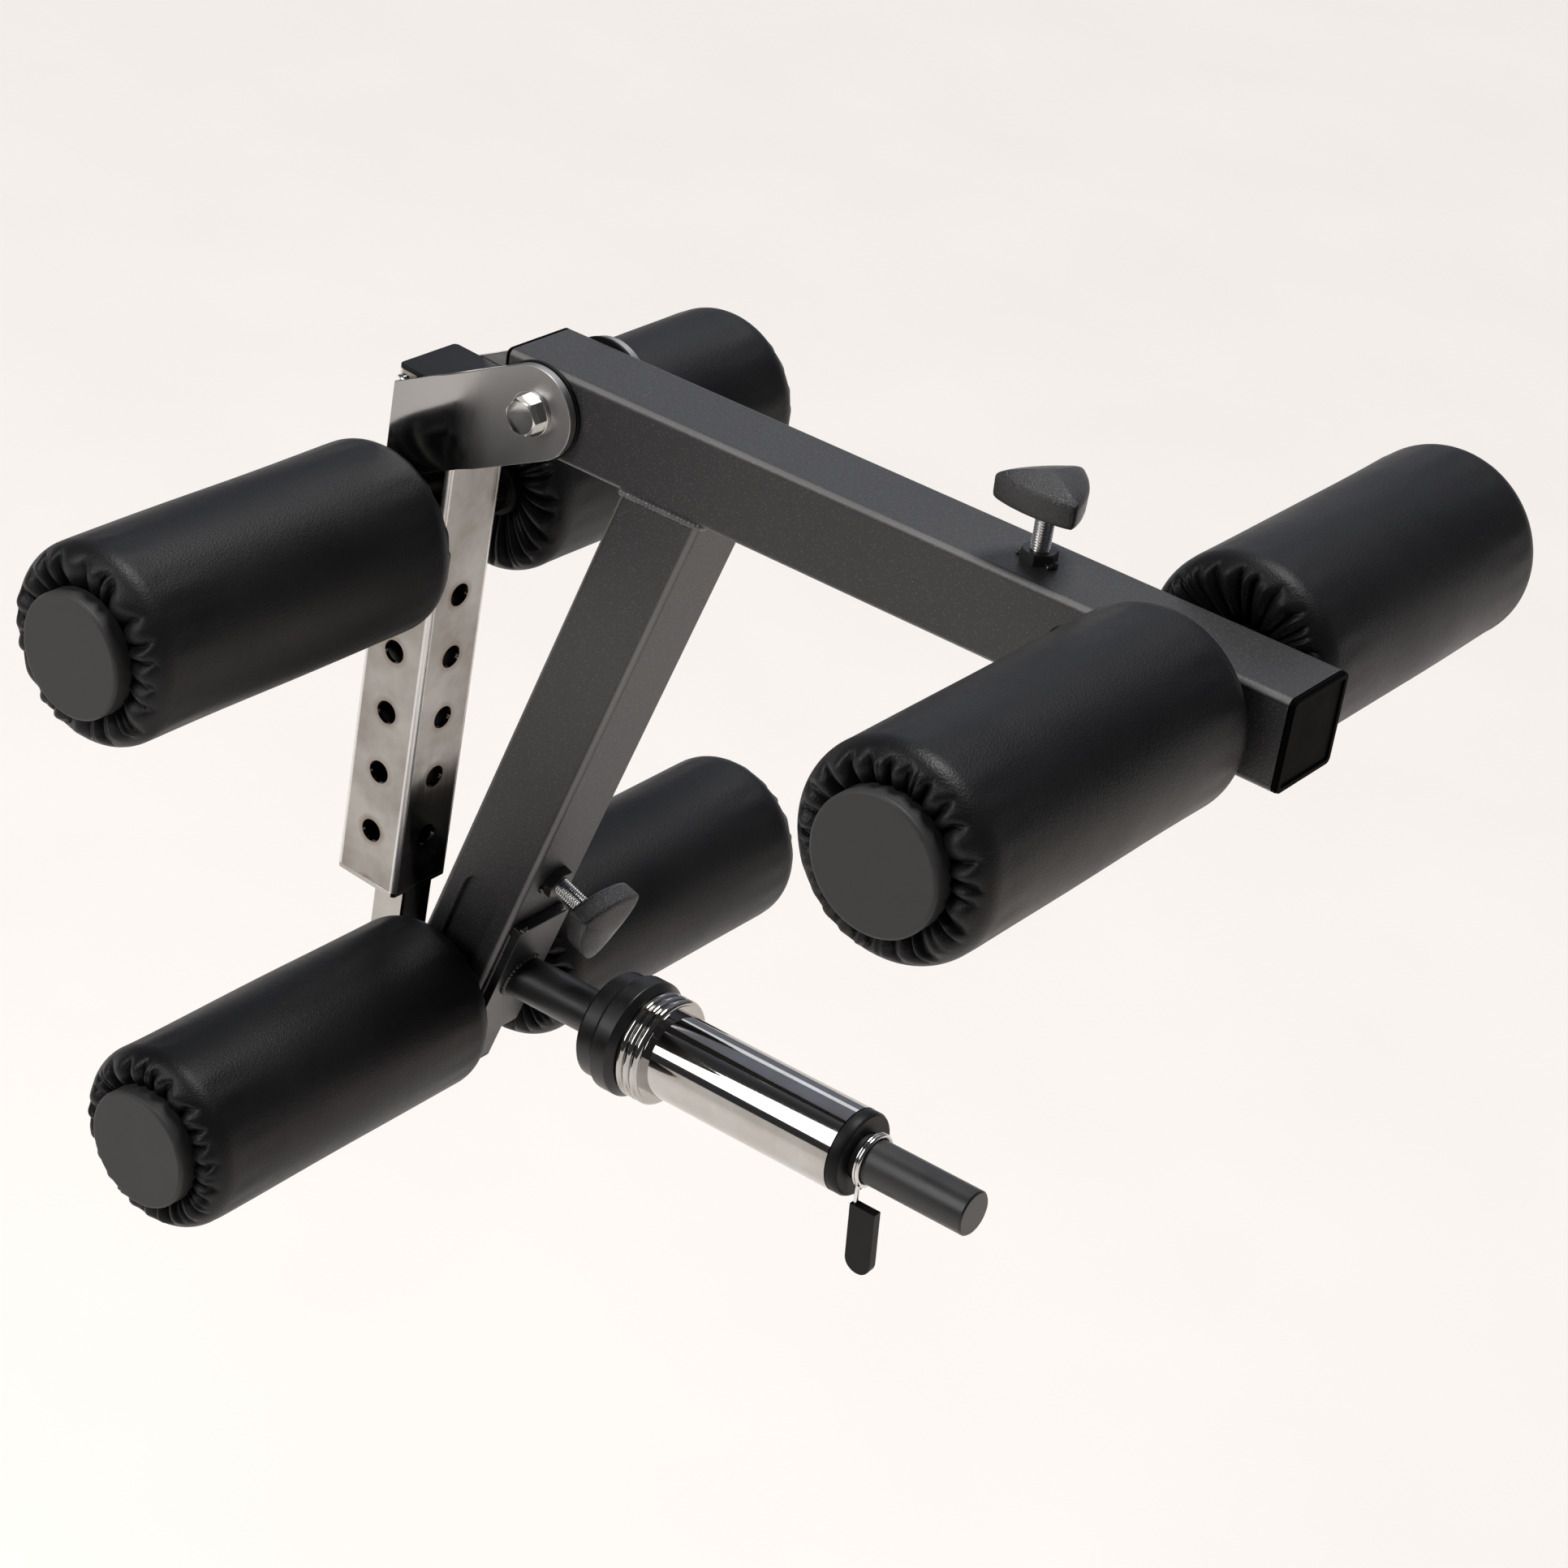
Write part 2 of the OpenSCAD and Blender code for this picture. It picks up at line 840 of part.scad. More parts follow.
module sleeve_end_plug()
    color("black")
        in_bar()
            difference() {
                union() {
                    translate([0, 0, sleeve_end_at])
                        cylinder(d = end_plug_d, h = end_plug_t - end_plug_edge, $fn = 96);
                    translate([0, 0, sleeve_end_at + end_plug_t - end_plug_edge])
                        cylinder(d1 = end_plug_d, d2 = end_plug_d - end_plug_edge, h = end_plug_edge, $fn = 96);
                    translate([0, 0, sleeve_end_at - end_plug_depth])
                        cylinder(d = sleeve_bore_d, h = end_plug_depth + tiny, $fn = 96);
                }
                cylinder(d = bush_on_bar_d, h = far);
            }

// Frame of grip i: origin beside the bar on its turn of wire, X along the leg.
module at_grip(i)
    in_bar()
        translate([0, 0, coil_at + (i + 0.5) * coil_pitch])
            rotate(grips[i][0])
                translate([0, grips[i][1] * leg_side, 0])
                    children();

// Two turns of wire that hug the bar, with a straight leg from each to its grip.
module collar_coil()
    color("gainsboro") {
        in_bar()
            for (i = [0, 1])
                translate([0, 0, coil_at + (i + 0.5) * coil_pitch])
                    rotate_extrude($fn = 96)
                        translate([coil_mid_r, 0])
                            circle(d = coil_wire_d, $fn = 32);
        leg_start = sqrt(coil_mid_r * coil_mid_r - leg_side * leg_side);
        for (i = [0, 1])
            at_grip(i)
                translate([leg_start, 0, 0])
                    rotate([0, 90, 0])
                        cylinder(d = leg_d, h = grip_at + leg_hold - leg_start);
    }

// Flat plastic grips with one round end, each bored for its leg.
module collar_grips()
    color("black")
        for (i = [0, 1])
            at_grip(i)
                difference() {
                    translate([grip_at, 0, grip_w / 2 - grip_back])
                        rotate([90, 0, 0])
                            linear_extrude(grip_t, center = true) {
                                translate([0, -grip_w / 2])
                                    square([grip_len - grip_w / 2, grip_w]);
                                translate([grip_len - grip_w / 2, 0])
                                    circle(d = grip_w, $fn = 48);
                            }
                    translate([grip_at - 1, 0, 0])
                        rotate([0, 90, 0])
                            cylinder(d = leg_d + 2 * leg_gap, h = leg_hold + 1 + side_gap);
                }

post_tube();
post_top_cap();
foot_plate();
stop_stub();
stop_buffer();
ear_near();
ear_far();
pivot_bolt();
pivot_washers();
pivot_lock_nut();
knee_pipe();
knee_pipe_caps();
lever_tube();
lower_arm();
arm_weld();
lever_rear_cap();
lever_front_cap();
arm_foot_cap();
pivot_tube();
pivot_bushes();
weld_nuts();
bar_base_plate();
loading_bar();
bar_bumper();
upper_slider();
upper_pipe();
upper_pipe_caps();
lower_slider();
lower_pipe();
lower_pipe_caps();
upper_knob_stud();
upper_knob_head();
lower_knob_stud();
lower_knob_head();
knee_near_core();
knee_near_foam();
knee_near_cover();
knee_far_core();
knee_far_foam();
knee_far_cover();
upper_near_core();
upper_near_foam();
upper_near_cover();
upper_far_core();
upper_far_foam();
upper_far_cover();
lower_near_core();
lower_near_foam();
lower_near_cover();
lower_far_core();
lower_far_foam();
lower_far_cover();
sleeve_tube();
sleeve_rings();
sleeve_inner_bush();
sleeve_end_plug();
collar_coil();
collar_grips();
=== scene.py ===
import json
import math

import bmesh
import bpy
import numpy as np
from mathutils import Matrix, Vector


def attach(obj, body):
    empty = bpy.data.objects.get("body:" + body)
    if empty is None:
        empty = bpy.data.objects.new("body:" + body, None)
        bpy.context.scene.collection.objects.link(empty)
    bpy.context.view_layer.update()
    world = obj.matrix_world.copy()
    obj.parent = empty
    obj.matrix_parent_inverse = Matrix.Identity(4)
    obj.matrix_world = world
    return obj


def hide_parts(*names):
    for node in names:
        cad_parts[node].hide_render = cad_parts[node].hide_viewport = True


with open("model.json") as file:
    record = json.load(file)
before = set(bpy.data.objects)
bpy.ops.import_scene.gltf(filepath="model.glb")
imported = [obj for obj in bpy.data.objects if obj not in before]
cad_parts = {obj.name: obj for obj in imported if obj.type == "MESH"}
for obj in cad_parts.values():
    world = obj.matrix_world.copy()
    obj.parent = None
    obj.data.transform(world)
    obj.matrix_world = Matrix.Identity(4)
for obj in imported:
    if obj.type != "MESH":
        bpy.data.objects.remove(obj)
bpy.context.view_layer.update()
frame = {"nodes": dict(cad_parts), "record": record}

MM = 0.001
PAIRS = ("knee", "upper", "lower")
SIDES = ("near", "far")

# Sizes of the CAD model, in millimetres and degrees.
PIVOT = (79.8, 0.0, 147.3)
LEVER_RISE = 3.0
TUBE_W = 50.0
ARM_X = 83.7
ARM_LEAN = 15.3
BAR_ON_ARM = 341.0
BAR_RISE = 4.6
KNEE_PIPE_Z = 43.0
LEVER_ROLLER = 393.7
ARM_ROLLER = 370.5
KNEE_INNER = 46.0
SIDE_INNER = 34.0
ROLLER_LEN = 214.0
ROLLER_R = 52.0
CORE_R = 15.5
CAP_R = 34.0
LEVER_KNOB = 296.4
ARM_KNOB = 264.0
KNOB_GAP = 28.5
TUBE_WALL = 2.5
STUD_R = 5.0
THREAD_PITCH = 1.5
BAR_R = 13.25
WIRE_R = 1.5
COIL_AT = 259.0
LEG_SIDE = 9.8
LEG_OUT = 33.5
POST_W = 45.0
POST_BORE = 41.0
HOLE_PITCH = 40.0
NUT_R = 9.6
PLATE_T = 7.0
PLATE_W = 42.0
PLATE_LEN = 96.0
CAP_FACE = 457.7


def turned(origin, x_axis, z_axis):
    """Frame at origin, in millimetres, with the given X and Z axes."""
    x, z = Vector(x_axis).normalized(), Vector(z_axis).normalized()
    y = z.cross(x)
    m = Matrix((x, y, z)).transposed().to_4x4()
    m.translation = Vector(origin)
    return m


def tilt(angle):
    """Directions along and square to a line that rises by angle in the XZ plane."""
    a = math.radians(angle)
    return Vector((math.cos(a), 0, math.sin(a))), Vector((-math.sin(a), 0, math.cos(a)))


LEV_X, LEV_Z = tilt(LEVER_RISE)
ARM_FRONT, ARM_UP = tilt(-ARM_LEAN)
BAR_DIR, BAR_UP = tilt(BAR_RISE)
ARM_ORIGIN = Vector(PIVOT) + Vector((ARM_X, 0, -TUBE_W / 2))
LEVER = turned(PIVOT, LEV_X, LEV_Z)
ARM = turned(ARM_ORIGIN, ARM_FRONT, ARM_UP)
BAR = turned(ARM_ORIGIN - ARM_UP * BAR_ON_ARM + ARM_FRONT * TUBE_W / 2, -BAR_UP, BAR_DIR)
UPPER_KNOB = LEVER @ Matrix.Translation((LEVER_KNOB, 0, TUBE_W / 2))
LOWER_KNOB = turned(ARM @ Vector((TUBE_W / 2, 0, -ARM_KNOB)), -ARM_UP, ARM_FRONT)
ROLLER_AXIS = {
    "knee": Vector((0, 0, KNEE_PIPE_Z)),
    "upper": LEVER @ Vector((LEVER_ROLLER, 0, 0)),
    "lower": ARM @ Vector((0, 0, -ARM_ROLLER)),
}
ROLLER_START = {"knee": KNEE_INNER, "upper": SIDE_INNER, "lower": SIDE_INNER}

# ---- materials ---------------------------------------------------------------


class Shader:
    """A Principled material built node by node."""

    def __init__(self, name):
        self.mat = bpy.data.materials.new(name)
        self.mat.use_nodes = True
        self.tree = self.mat.node_tree
        self.tree.nodes.clear()
        self.out = self.tree.nodes.new("ShaderNodeOutputMaterial")
        self.bsdf = self.tree.nodes.new("ShaderNodeBsdfPrincipled")
        self.link(self.bsdf.outputs[0], self.out.inputs[0])
        self.coord = self.tree.nodes.new("ShaderNodeTexCoord")

    def link(self, a, b):
        self.tree.links.new(a, b)

    def set(self, **values):
        for key, value in values.items():
            self.bsdf.inputs[key.replace("_", " ")].default_value = value
        return self

    def noise(self, scale, detail=2.0, rough=0.5, stretch=None):
        """Noise per metre of the object, stretched where a scale for each axis is given."""
        place = self.coord.outputs["Object"]
        if stretch is not None:
            m = self.tree.nodes.new("ShaderNodeMapping")
            m.inputs["Scale"].default_value = stretch
            self.link(place, m.inputs["Vector"])
            place = m.outputs["Vector"]
        n = self.tree.nodes.new("ShaderNodeTexNoise")
        n.inputs["Scale"].default_value = scale
        n.inputs["Detail"].default_value = detail
        n.inputs["Roughness"].default_value = rough
        self.link(place, n.inputs["Vector"])
        return n.outputs["Fac"]

    def cells(self, scale):
        """Distance to the middle of the nearest cell."""
        n = self.tree.nodes.new("ShaderNodeTexVoronoi")
        n.feature = "F1"
        n.inputs["Scale"].default_value = scale
        self.link(self.coord.outputs["Object"], n.inputs["Vector"])
        return n.outputs["Distance"]

    def split(self, kind):
        """X, Y and Z of the object's coordinates or normal."""
        n = self.tree.nodes.new("ShaderNodeSeparateXYZ")
        self.link(self.coord.outputs[kind], n.inputs[0])
        return [n.outputs[axis] for axis in "XYZ"]

    def remap(self, value, low, high, to_low, to_high):
        """Value from low..high to to_low..to_high, clamped."""
        n = self.tree.nodes.new("ShaderNodeMapRange")
        n.clamp = True
        limits = {"From Min": low, "From Max": high, "To Min": to_low, "To Max": to_high}
        for key, v in limits.items():
            n.inputs[key].default_value = v
        self.link(value, n.inputs["Value"])
        return n.outputs["Result"]

    def mix(self, fac, a, b):
        """Colour a where fac is 0 and b where it is 1; each is a colour or a socket."""
        n = self.tree.nodes.new("ShaderNodeMix")
        n.data_type = "RGBA"
        self.link(fac, n.inputs["Factor"])
        for socket, colour in ((n.inputs[6], a), (n.inputs[7], b)):
            if hasattr(colour, "links"):
                self.link(colour, socket)
            else:
                socket.default_value = (*colour, 1)
        return n.outputs[2]

    def add(self, a, b, weight):
        """a + weight x b."""
        n = self.tree.nodes.new("ShaderNodeMath")
        n.operation = "MULTIPLY_ADD"
        self.link(b, n.inputs[0])
        n.inputs[1].default_value = weight
        self.link(a, n.inputs[2])
        return n.outputs[0]

    def math(self, operation, a, b=None):
        """A Math node; each value is a number or a socket."""
        n = self.tree.nodes.new("ShaderNodeMath")
        n.operation = operation
        for i, value in enumerate((a, b)):
            if hasattr(value, "links"):
                self.link(value, n.inputs[i])
            elif value is not None:
                n.inputs[i].default_value = value
        return n.outputs[0]

    def colour(self, socket):
        self.link(socket, self.bsdf.inputs["Base Color"])
        return self

    def rough(self, socket):
        self.link(socket, self.bsdf.inputs["Roughness"])
        return self

    def bump(self, height, distance, strength):
        n = self.tree.nodes.new("ShaderNodeBump")
        n.inputs["Distance"].default_value = distance
        n.inputs["Strength"].default_value = strength
        self.link(height, n.inputs["Height"])
        self.link(n.outputs[0], self.bsdf.inputs["Normal"])
        return self


def leatherette():
    """Black covers: pores, fine creases and slightly paler patches."""
    s = Shader("leatherette").set(Specular_IOR_Level=0.27)
    pores = s.cells(900)
    creases = s.noise(260, 4, 0.6)
    patches = s.noise(14, 3, 0.55)
    dark, light = (0.0026, 0.0027, 0.0034), (0.0046, 0.0047, 0.0054)
    s.colour(s.mix(s.remap(patches, 0.35, 0.7, 0, 1), dark, light))
    s.rough(s.remap(s.add(patches, creases, 0.35), 0.45, 0.9, 0.40, 0.52))
    s.bump(s.add(pores, creases, 0.8), 0.00018, 0.6)
    return s.mat


def powder_coat():
    """Speckled grey coat, with a painted highlight that makes it lighter along the tubes' long corners.
    """
    s = Shader("powder_coat").set(Specular_IOR_Level=0.5)
    specks = s.cells(700)
    texture = s.noise(950, 3, 0.55)
    patches = s.noise(9)
    dark, light = (0.0235, 0.0230, 0.0238), (0.0285, 0.028, 0.0285)
    body = s.mix(s.remap(patches, 0.3, 0.7, 0, 1), dark, light)
    # Side faces look along Y and the others square to it, so a corner is where the normal is between.
    normal_y = s.split("Normal")[1]
    sideways = s.math("MULTIPLY", normal_y, normal_y)
    between = s.math("MULTIPLY", sideways, s.math("SUBTRACT", 1.0, sideways))
    # The long corners get a painted highlight: their base colour is made much paler, patchy along them.
    highlight_patches = s.remap(patches, 0.3, 0.7, 0.7, 1.0)
    corner_highlight = s.math("MULTIPLY", s.remap(between, 0.05, 0.22, 0, 1), highlight_patches)
    body = s.mix(corner_highlight, body, (0.17, 0.168, 0.166))
    s.colour(s.mix(s.remap(specks, 0.0, 0.2, 1, 0), body, (0.25, 0.25, 0.26)))
    s.rough(s.remap(texture, 0.3, 0.7, 0.38, 0.52))
    s.bump(s.add(texture, specks, -0.3), 0.00024, 0.65)
    return s.mat


def black_paint():
    """Satin paint of the loading bar, its plate and the weld nuts."""
    s = Shader("black_paint").set(Specular_IOR_Level=0.5)
    texture = s.noise(1100, 3, 0.6)
    patches = s.noise(30, 3, 0.55)
    dark, light = (0.013, 0.013, 0.0132), (0.021, 0.0208, 0.0208)
    s.colour(s.mix(s.remap(patches, 0.35, 0.7, 0, 1), dark, light))
    s.rough(s.remap(patches, 0.3, 0.7, 0.34, 0.44))
    s.bump(texture, 0.00012, 0.5)
    return s.mat


def plastic(name, dark, light, rough, grain, depth, specular, ior=1.5):
    """Moulded plastic between two colours, with grain of a depth in metres."""
    s = Shader(name).set(Specular_IOR_Level=specular, IOR=ior)
    texture = s.noise(grain)
    patches = s.noise(40, 3)
    s.colour(s.mix(s.remap(patches, 0.35, 0.7, 0, 1), dark, light))
    s.rough(s.remap(patches, 0.3, 0.7, rough - 0.05, rough + 0.05))
    s.bump(texture, depth, 0.7)
    return s.mat


def rubber():
    """Black rubber of the bumper and the stop, with faint dusty patches."""
    s = Shader("rubber").set(Specular_IOR_Level=0.4)
    patches = s.noise(60, 4, 0.6)
    dark, light = (0.006, 0.006, 0.0062), (0.011, 0.0108, 0.0105)
    s.colour(s.mix(s.remap(patches, 0.35, 0.7, 0, 1), dark, light))
    s.rough(s.remap(patches, 0.3, 0.7, 0.30, 0.42))
    s.bump(s.noise(500, 3, 0.6), 0.0001, 0.4)
    return s.mat


# Noise that runs in fine lines along Z: scale, detail, roughness and stretch.
POLISH = (420, 2, 0.5, (1, 1, 0.04))


def chrome(name, base, rough_low, rough_high, haze=18.0):
    """Plated steel with faint cloudiness and fine polishing lines."""
    s = Shader(name).set(Metallic=1.0)
    cloud = s.noise(haze, 4, 0.6)
    lines = s.noise(*POLISH)
    tint = tuple(c * k for c, k in zip(base, (0.84, 0.80, 0.75)))
    s.colour(s.mix(s.remap(cloud, 0.35, 0.68, 0, 1), base, tint))
    s.rough(s.remap(s.add(cloud, lines, 0.25), 0.42, 0.85, rough_low, rough_high))
    s.bump(lines, 0.00002, 0.25)
    return s.mat


def post_chrome():
    """Chrome outside, with brown tarnish round the holes; inside the tube unplated steel, painted near
    black as shade.
    """
    s = Shader("post_chrome").set(Metallic=1.0)
    x, y, z = s.split("Object")
    sides = [s.math("ABSOLUTE", v) for v in (x, y)]
    outer = s.math("MAXIMUM", *sides)
    across = s.math("MINIMUM", *sides)
    shell = s.remap(outer, (POST_BORE / 2 - 0.3) * MM, (POST_BORE / 2 + 0.3) * MM, 0, 1)
    # The four long corners are rougher, and carry a painted highlight: a pale strip in the base colour.
    corner = s.remap(across, (POST_W / 2 - 3.7) * MM, (POST_W / 2 - 2.7) * MM, 0, 1)
    # Distance from the middle of the nearest hole, then the ring of tarnish, none above the top hole.
    step = s.math("PINGPONG", z, HOLE_PITCH * MM / 2)
    squares = [s.math("MULTIPLY", v, v) for v in (across, step)]
    away = s.math("SQRT", s.math("ADD", *squares))
    rim = s.remap(s.add(away, s.noise(90, 3), 4 * MM), 8.6 * MM, 13.0 * MM, 1, 0)
    rim = s.math("MULTIPLY", rim, s.remap(z, 10 * MM, 14 * MM, 1, 0))
    cloud = s.noise(16, 4, 0.62)
    blot = s.noise(55, 4, 0.6)
    plate = s.mix(s.remap(cloud, 0.36, 0.62, 0, 1), (0.38, 0.367, 0.35), (0.235, 0.217, 0.198))
    tarnish = s.math("MULTIPLY", rim, s.remap(blot, 0.35, 0.65, 0.25, 0.85))
    plate = s.mix(tarnish, plate, (0.17, 0.115, 0.08))
    # Painted highlight: the corners' base colour is near white.
    plate = s.mix(corner, plate, (0.80, 0.79, 0.775))
    # Inside the bore: dull unplated steel, its colour darkened to near black as painted shade in the
    # tube.
    s.colour(s.mix(shell, (0.03, 0.028, 0.026), plate))
    lines = s.noise(*POLISH)
    plain = s.remap(s.add(cloud, s.add(lines, rim, 0.4), 0.3), 0.42, 0.95, 0.07, 0.26)
    s.rough(s.add(plain, corner, 0.30))
    s.bump(s.add(lines, blot, 0.6), 0.00004, 0.3)
    return s.mat


def ear_chrome():
    """Chrome that is bright at the post and satin towards the pivot."""
    s = Shader("ear_chrome").set(Metallic=1.0)
    cloud = s.noise(9, 4, 0.6)
    lines = s.noise(*POLISH)
    wander = s.add(s.split("Object")[0], cloud, 14 * MM)
    satin = s.remap(wander, 34 * MM, 62 * MM, 0, 1)
    light, dark = (0.39, 0.385, 0.38), (0.35, 0.342, 0.335)
    s.colour(s.mix(s.remap(cloud, 0.35, 0.68, 0, 1), light, dark))
    bright = s.remap(s.add(cloud, lines, 0.25), 0.42, 0.85, 0.08, 0.17)
    s.rough(s.add(bright, satin, 0.30))
    s.bump(lines, 0.00002, 0.25)
    return s.mat


def bare_steel(name, base, rough_low, rough_high, grain):
    """Zinc plate, threads and weld metal, with blots of the given scale."""
    s = Shader(name).set(Metallic=1.0)
    blot = s.noise(grain, 4, 0.65)
    tint = tuple(c * 0.82 for c in base)
    s.colour(s.mix(s.remap(blot, 0.35, 0.7, 0, 1), base, tint))
    s.rough(s.remap(blot, 0.3, 0.7, rough_low, rough_high))
    s.bump(blot, 0.00005, 0.25)
    return s.mat


M = {
    "cover": leatherette(),
    "coat": powder_coat(),
    "paint": black_paint(),
    "plastic": plastic("black_plastic", (0.0040, 0.0040, 0.0042), (0.0065, 0.0065, 0.0068),
                       rough=0.42, grain=900, depth=0.0001, specular=0.17),
    "inset": plastic("inset_plastic", (0.0012, 0.0012, 0.0014), (0.002, 0.002, 0.0022),
                     rough=0.50, grain=700, depth=0.0001, specular=0.4, ior=1.08),
    "cap": plastic("cap_plastic", (0.030, 0.0292, 0.029), (0.036, 0.0352, 0.035),
                   rough=0.52, grain=1400, depth=0.00008, specular=0.35),
    "knob": plastic("knob_plastic", (0.0055, 0.0055, 0.006), (0.009, 0.009, 0.0094),
                    rough=0.33, grain=1500, depth=0.0008, specular=0.7),
    "core": plastic("core_plastic", (0.006, 0.006, 0.006), (0.009, 0.009, 0.009),
                    rough=0.5, grain=800, depth=0.0001, specular=0.25),
    "rubber": rubber(),
    "chrome": chrome("hazy_chrome", (0.44, 0.43, 0.415), 0.07, 0.22),
    "post": post_chrome(),
    # The arm's weld bead: coated like the tubes but several times paler, a painted highlight on the
    # bead.
    "bead": plastic("coated_bead_painted_highlight", (0.075, 0.075, 0.076), (0.12, 0.12, 0.12),
                    rough=0.30, grain=500, depth=0.0002, specular=0.7),
    "ear": ear_chrome(),
    "mirror": chrome("bright_chrome", (0.50, 0.492, 0.48), 0.03, 0.08, 30.0),
    "wire": chrome("wire_chrome", (0.74, 0.74, 0.74), 0.10, 0.2, 60.0),
    "zinc": bare_steel("zinc_plate", (0.72, 0.71, 0.69), 0.15, 0.26, 90),
    "thread": bare_steel("bright_thread", (0.80, 0.80, 0.79), 0.16, 0.22, 40),
    "tack": bare_steel("bright_tack", (0.80, 0.79, 0.77), 0.14, 0.26, 300),
    "weld": bare_steel("weld_metal", (0.16, 0.155, 0.15), 0.26, 0.42, 420),
}

NODE_MATERIAL = {
    "post": ("post_tube",),
    "chrome": ("foot_plate", "stop_stub", "knee_pipe", "upper_pipe", "lower_pipe"),
    "ear": ("ear_near", "ear_far"),
    "mirror": ("sleeve_tube", "sleeve_rings"),
    "wire": ("collar_coil",),
    "zinc": ("pivot_bolt", "pivot_washers", "pivot_lock_nut"),
    "thread": ("upper_knob_stud", "lower_knob_stud"),
    "coat": ("lever_tube", "lower_arm", "arm_weld", "pivot_tube", "upper_slider", "lower_slider"),
    "paint": ("weld_nuts", "bar_base_plate", "loading_bar"),
    "plastic": ("post_top_cap", "arm_foot_cap", "pivot_bushes", "sleeve_inner_bush", "sleeve_end_plug",
                "collar_grips"),
    "inset": ("lever_rear_cap", "lever_front_cap"),
    "knob": ("upper_knob_head", "lower_knob_head"),
    "cap": ("knee_pipe_caps", "upper_pipe_caps", "lower_pipe_caps"),
    "rubber": ("stop_buffer", "bar_bumper"),
    "core": tuple(f"{p}_{s}_{part}" for p in PAIRS for s in SIDES for part in ("core", "foam")),
    "cover": tuple(f"{p}_{s}_cover" for p in PAIRS for s in SIDES),
}
for key, names in NODE_MATERIAL.items():
    for name in names:
        node = frame["nodes"][name]
        node.data.materials.clear()
        node.data.materials.append(M[key])

BODY_OF = {n: b for b, ns in frame["record"]["behaviour"]["bodies"].items() for n in ns}

# ---- mesh helpers --------------------------------------------------------------


def placed(name, mesh, body):
    """A smooth-shaded object for a mesh, riding on a body."""
    mesh.polygons.foreach_set("use_smooth", [True] * len(mesh.polygons))
    ob = bpy.data.objects.new(name, mesh)
    bpy.context.scene.collection.objects.link(ob)
    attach(ob, body)
    return ob


def piece(name, verts, faces, material, body):
    """A new mesh piece from points in millimetres, riding on a body."""
    mesh = bpy.data.meshes.new(name)
    mesh.from_pydata([tuple(MM * c for c in v) for v in verts], [], faces)
    mesh.materials.append(M[material])
    mesh.update()
    return placed(name, mesh, body)


def grid_faces(rows, around, closed_rows):
    """Quads between rings of points that each close on themselves."""
    faces = []
    last = rows if closed_rows else rows - 1
    for i in range(last):
        a, b = i * around, ((i + 1) % rows) * around
        for j in range(around):
            k = (j + 1) % around
            faces.append((a + j, b + j, b + k, a + k))
    return faces


def rings(points, place=None, cap_ends=False, closed_rows=False):
    """Vertices and faces of rings given as an array of (row, around, 3), moved to a frame."""
    rows, around = points.shape[:2]
    flat = points.reshape(-1, 3)
    if place is not None:
        m = np.array(place)
        flat = flat @ m[:3, :3].T + m[:3, 3]
    faces = grid_faces(rows, around, closed_rows)
    if cap_ends:
        n = rows * around
        faces.append(tuple(range(around)))
        faces.append(tuple(range(n - 1, n - 1 - around, -1)))
    return [tuple(v) for v in flat], faces


def tidy(ob, angle):
    """Outward normals, and edges sharper than angle kept crisp."""
    bm = bmesh.new()
    bm.from_mesh(ob.data)
    bmesh.ops.recalc_face_normals(bm, faces=bm.faces)
    limit = math.radians(angle)
    for e in bm.edges:
        e.smooth = len(e.link_faces) != 2 or e.calc_face_angle(0) < limit
    bm.to_mesh(ob.data)
    bm.free()


def rounded(ob, width, angle):
    """Rounds the edges of a piece that are sharper than angle, width in millimetres."""
    bevel = ob.modifiers.new("edges", "BEVEL")
    bevel.width = width * MM
    bevel.segments = 2
    bevel.limit_method = "ANGLE"
    bevel.angle_limit = math.radians(angle)
    return bevel


def softened(node, width):
    """A copy of a CAD node with its edges rounded, shown in the node's place."""
    src = frame["nodes"][node]
    bm = bmesh.new()
    bm.from_mesh(src.data)
    bmesh.ops.remove_doubles(bm, verts=bm.verts, dist=2e-6)
    bmesh.ops.dissolve_limit(bm, angle_limit=math.radians(0.6), verts=bm.verts, edges=bm.edges)
    bmesh.ops.recalc_face_normals(bm, faces=bm.faces)
    mesh = bpy.data.meshes.new(node + "_soft")
    bm.to_mesh(mesh)
    bm.free()
    for a in ("custom_normal", "sharp_edge", "sharp_face"):
        if mesh.attributes.get(a) is not None:
            mesh.attributes.remove(mesh.attributes[a])
    mesh.materials.clear()
    mesh.materials.append(src.data.materials[0])
    ob = placed(node + "_soft", mesh, BODY_OF[node])
    bevel = rounded(ob, width, 28)
    bevel.harden_normals = True
    bevel.miter_outer = "MITER_ARC"
    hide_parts(node)


# ---- padded rollers --------------------------------------------------------------


SHOULDER = 11.0
AROUND = 432
# Where round the shoulder, in degrees, the gather starts, and over how many it grows.
GATHER_START = 30
GATHER_SPAN = 52
# How far each barrel swells past its nominal radius, in millimetres.
PLUMP = {(p, s): 0.6 for p in PAIRS for s in SIDES}
PLUMP.update({("knee", "near"): 2.7, ("knee", "far"): 1.2, ("lower", "far"): 2.0})
# Foam that has settled a little to one side of its core: along X and Z, and shorter at the cap.
SETTLED = {("knee", "near"): (0.0, 1.0, 0.0), ("knee", "far"): (-3.5, 1.5, 2.0)}


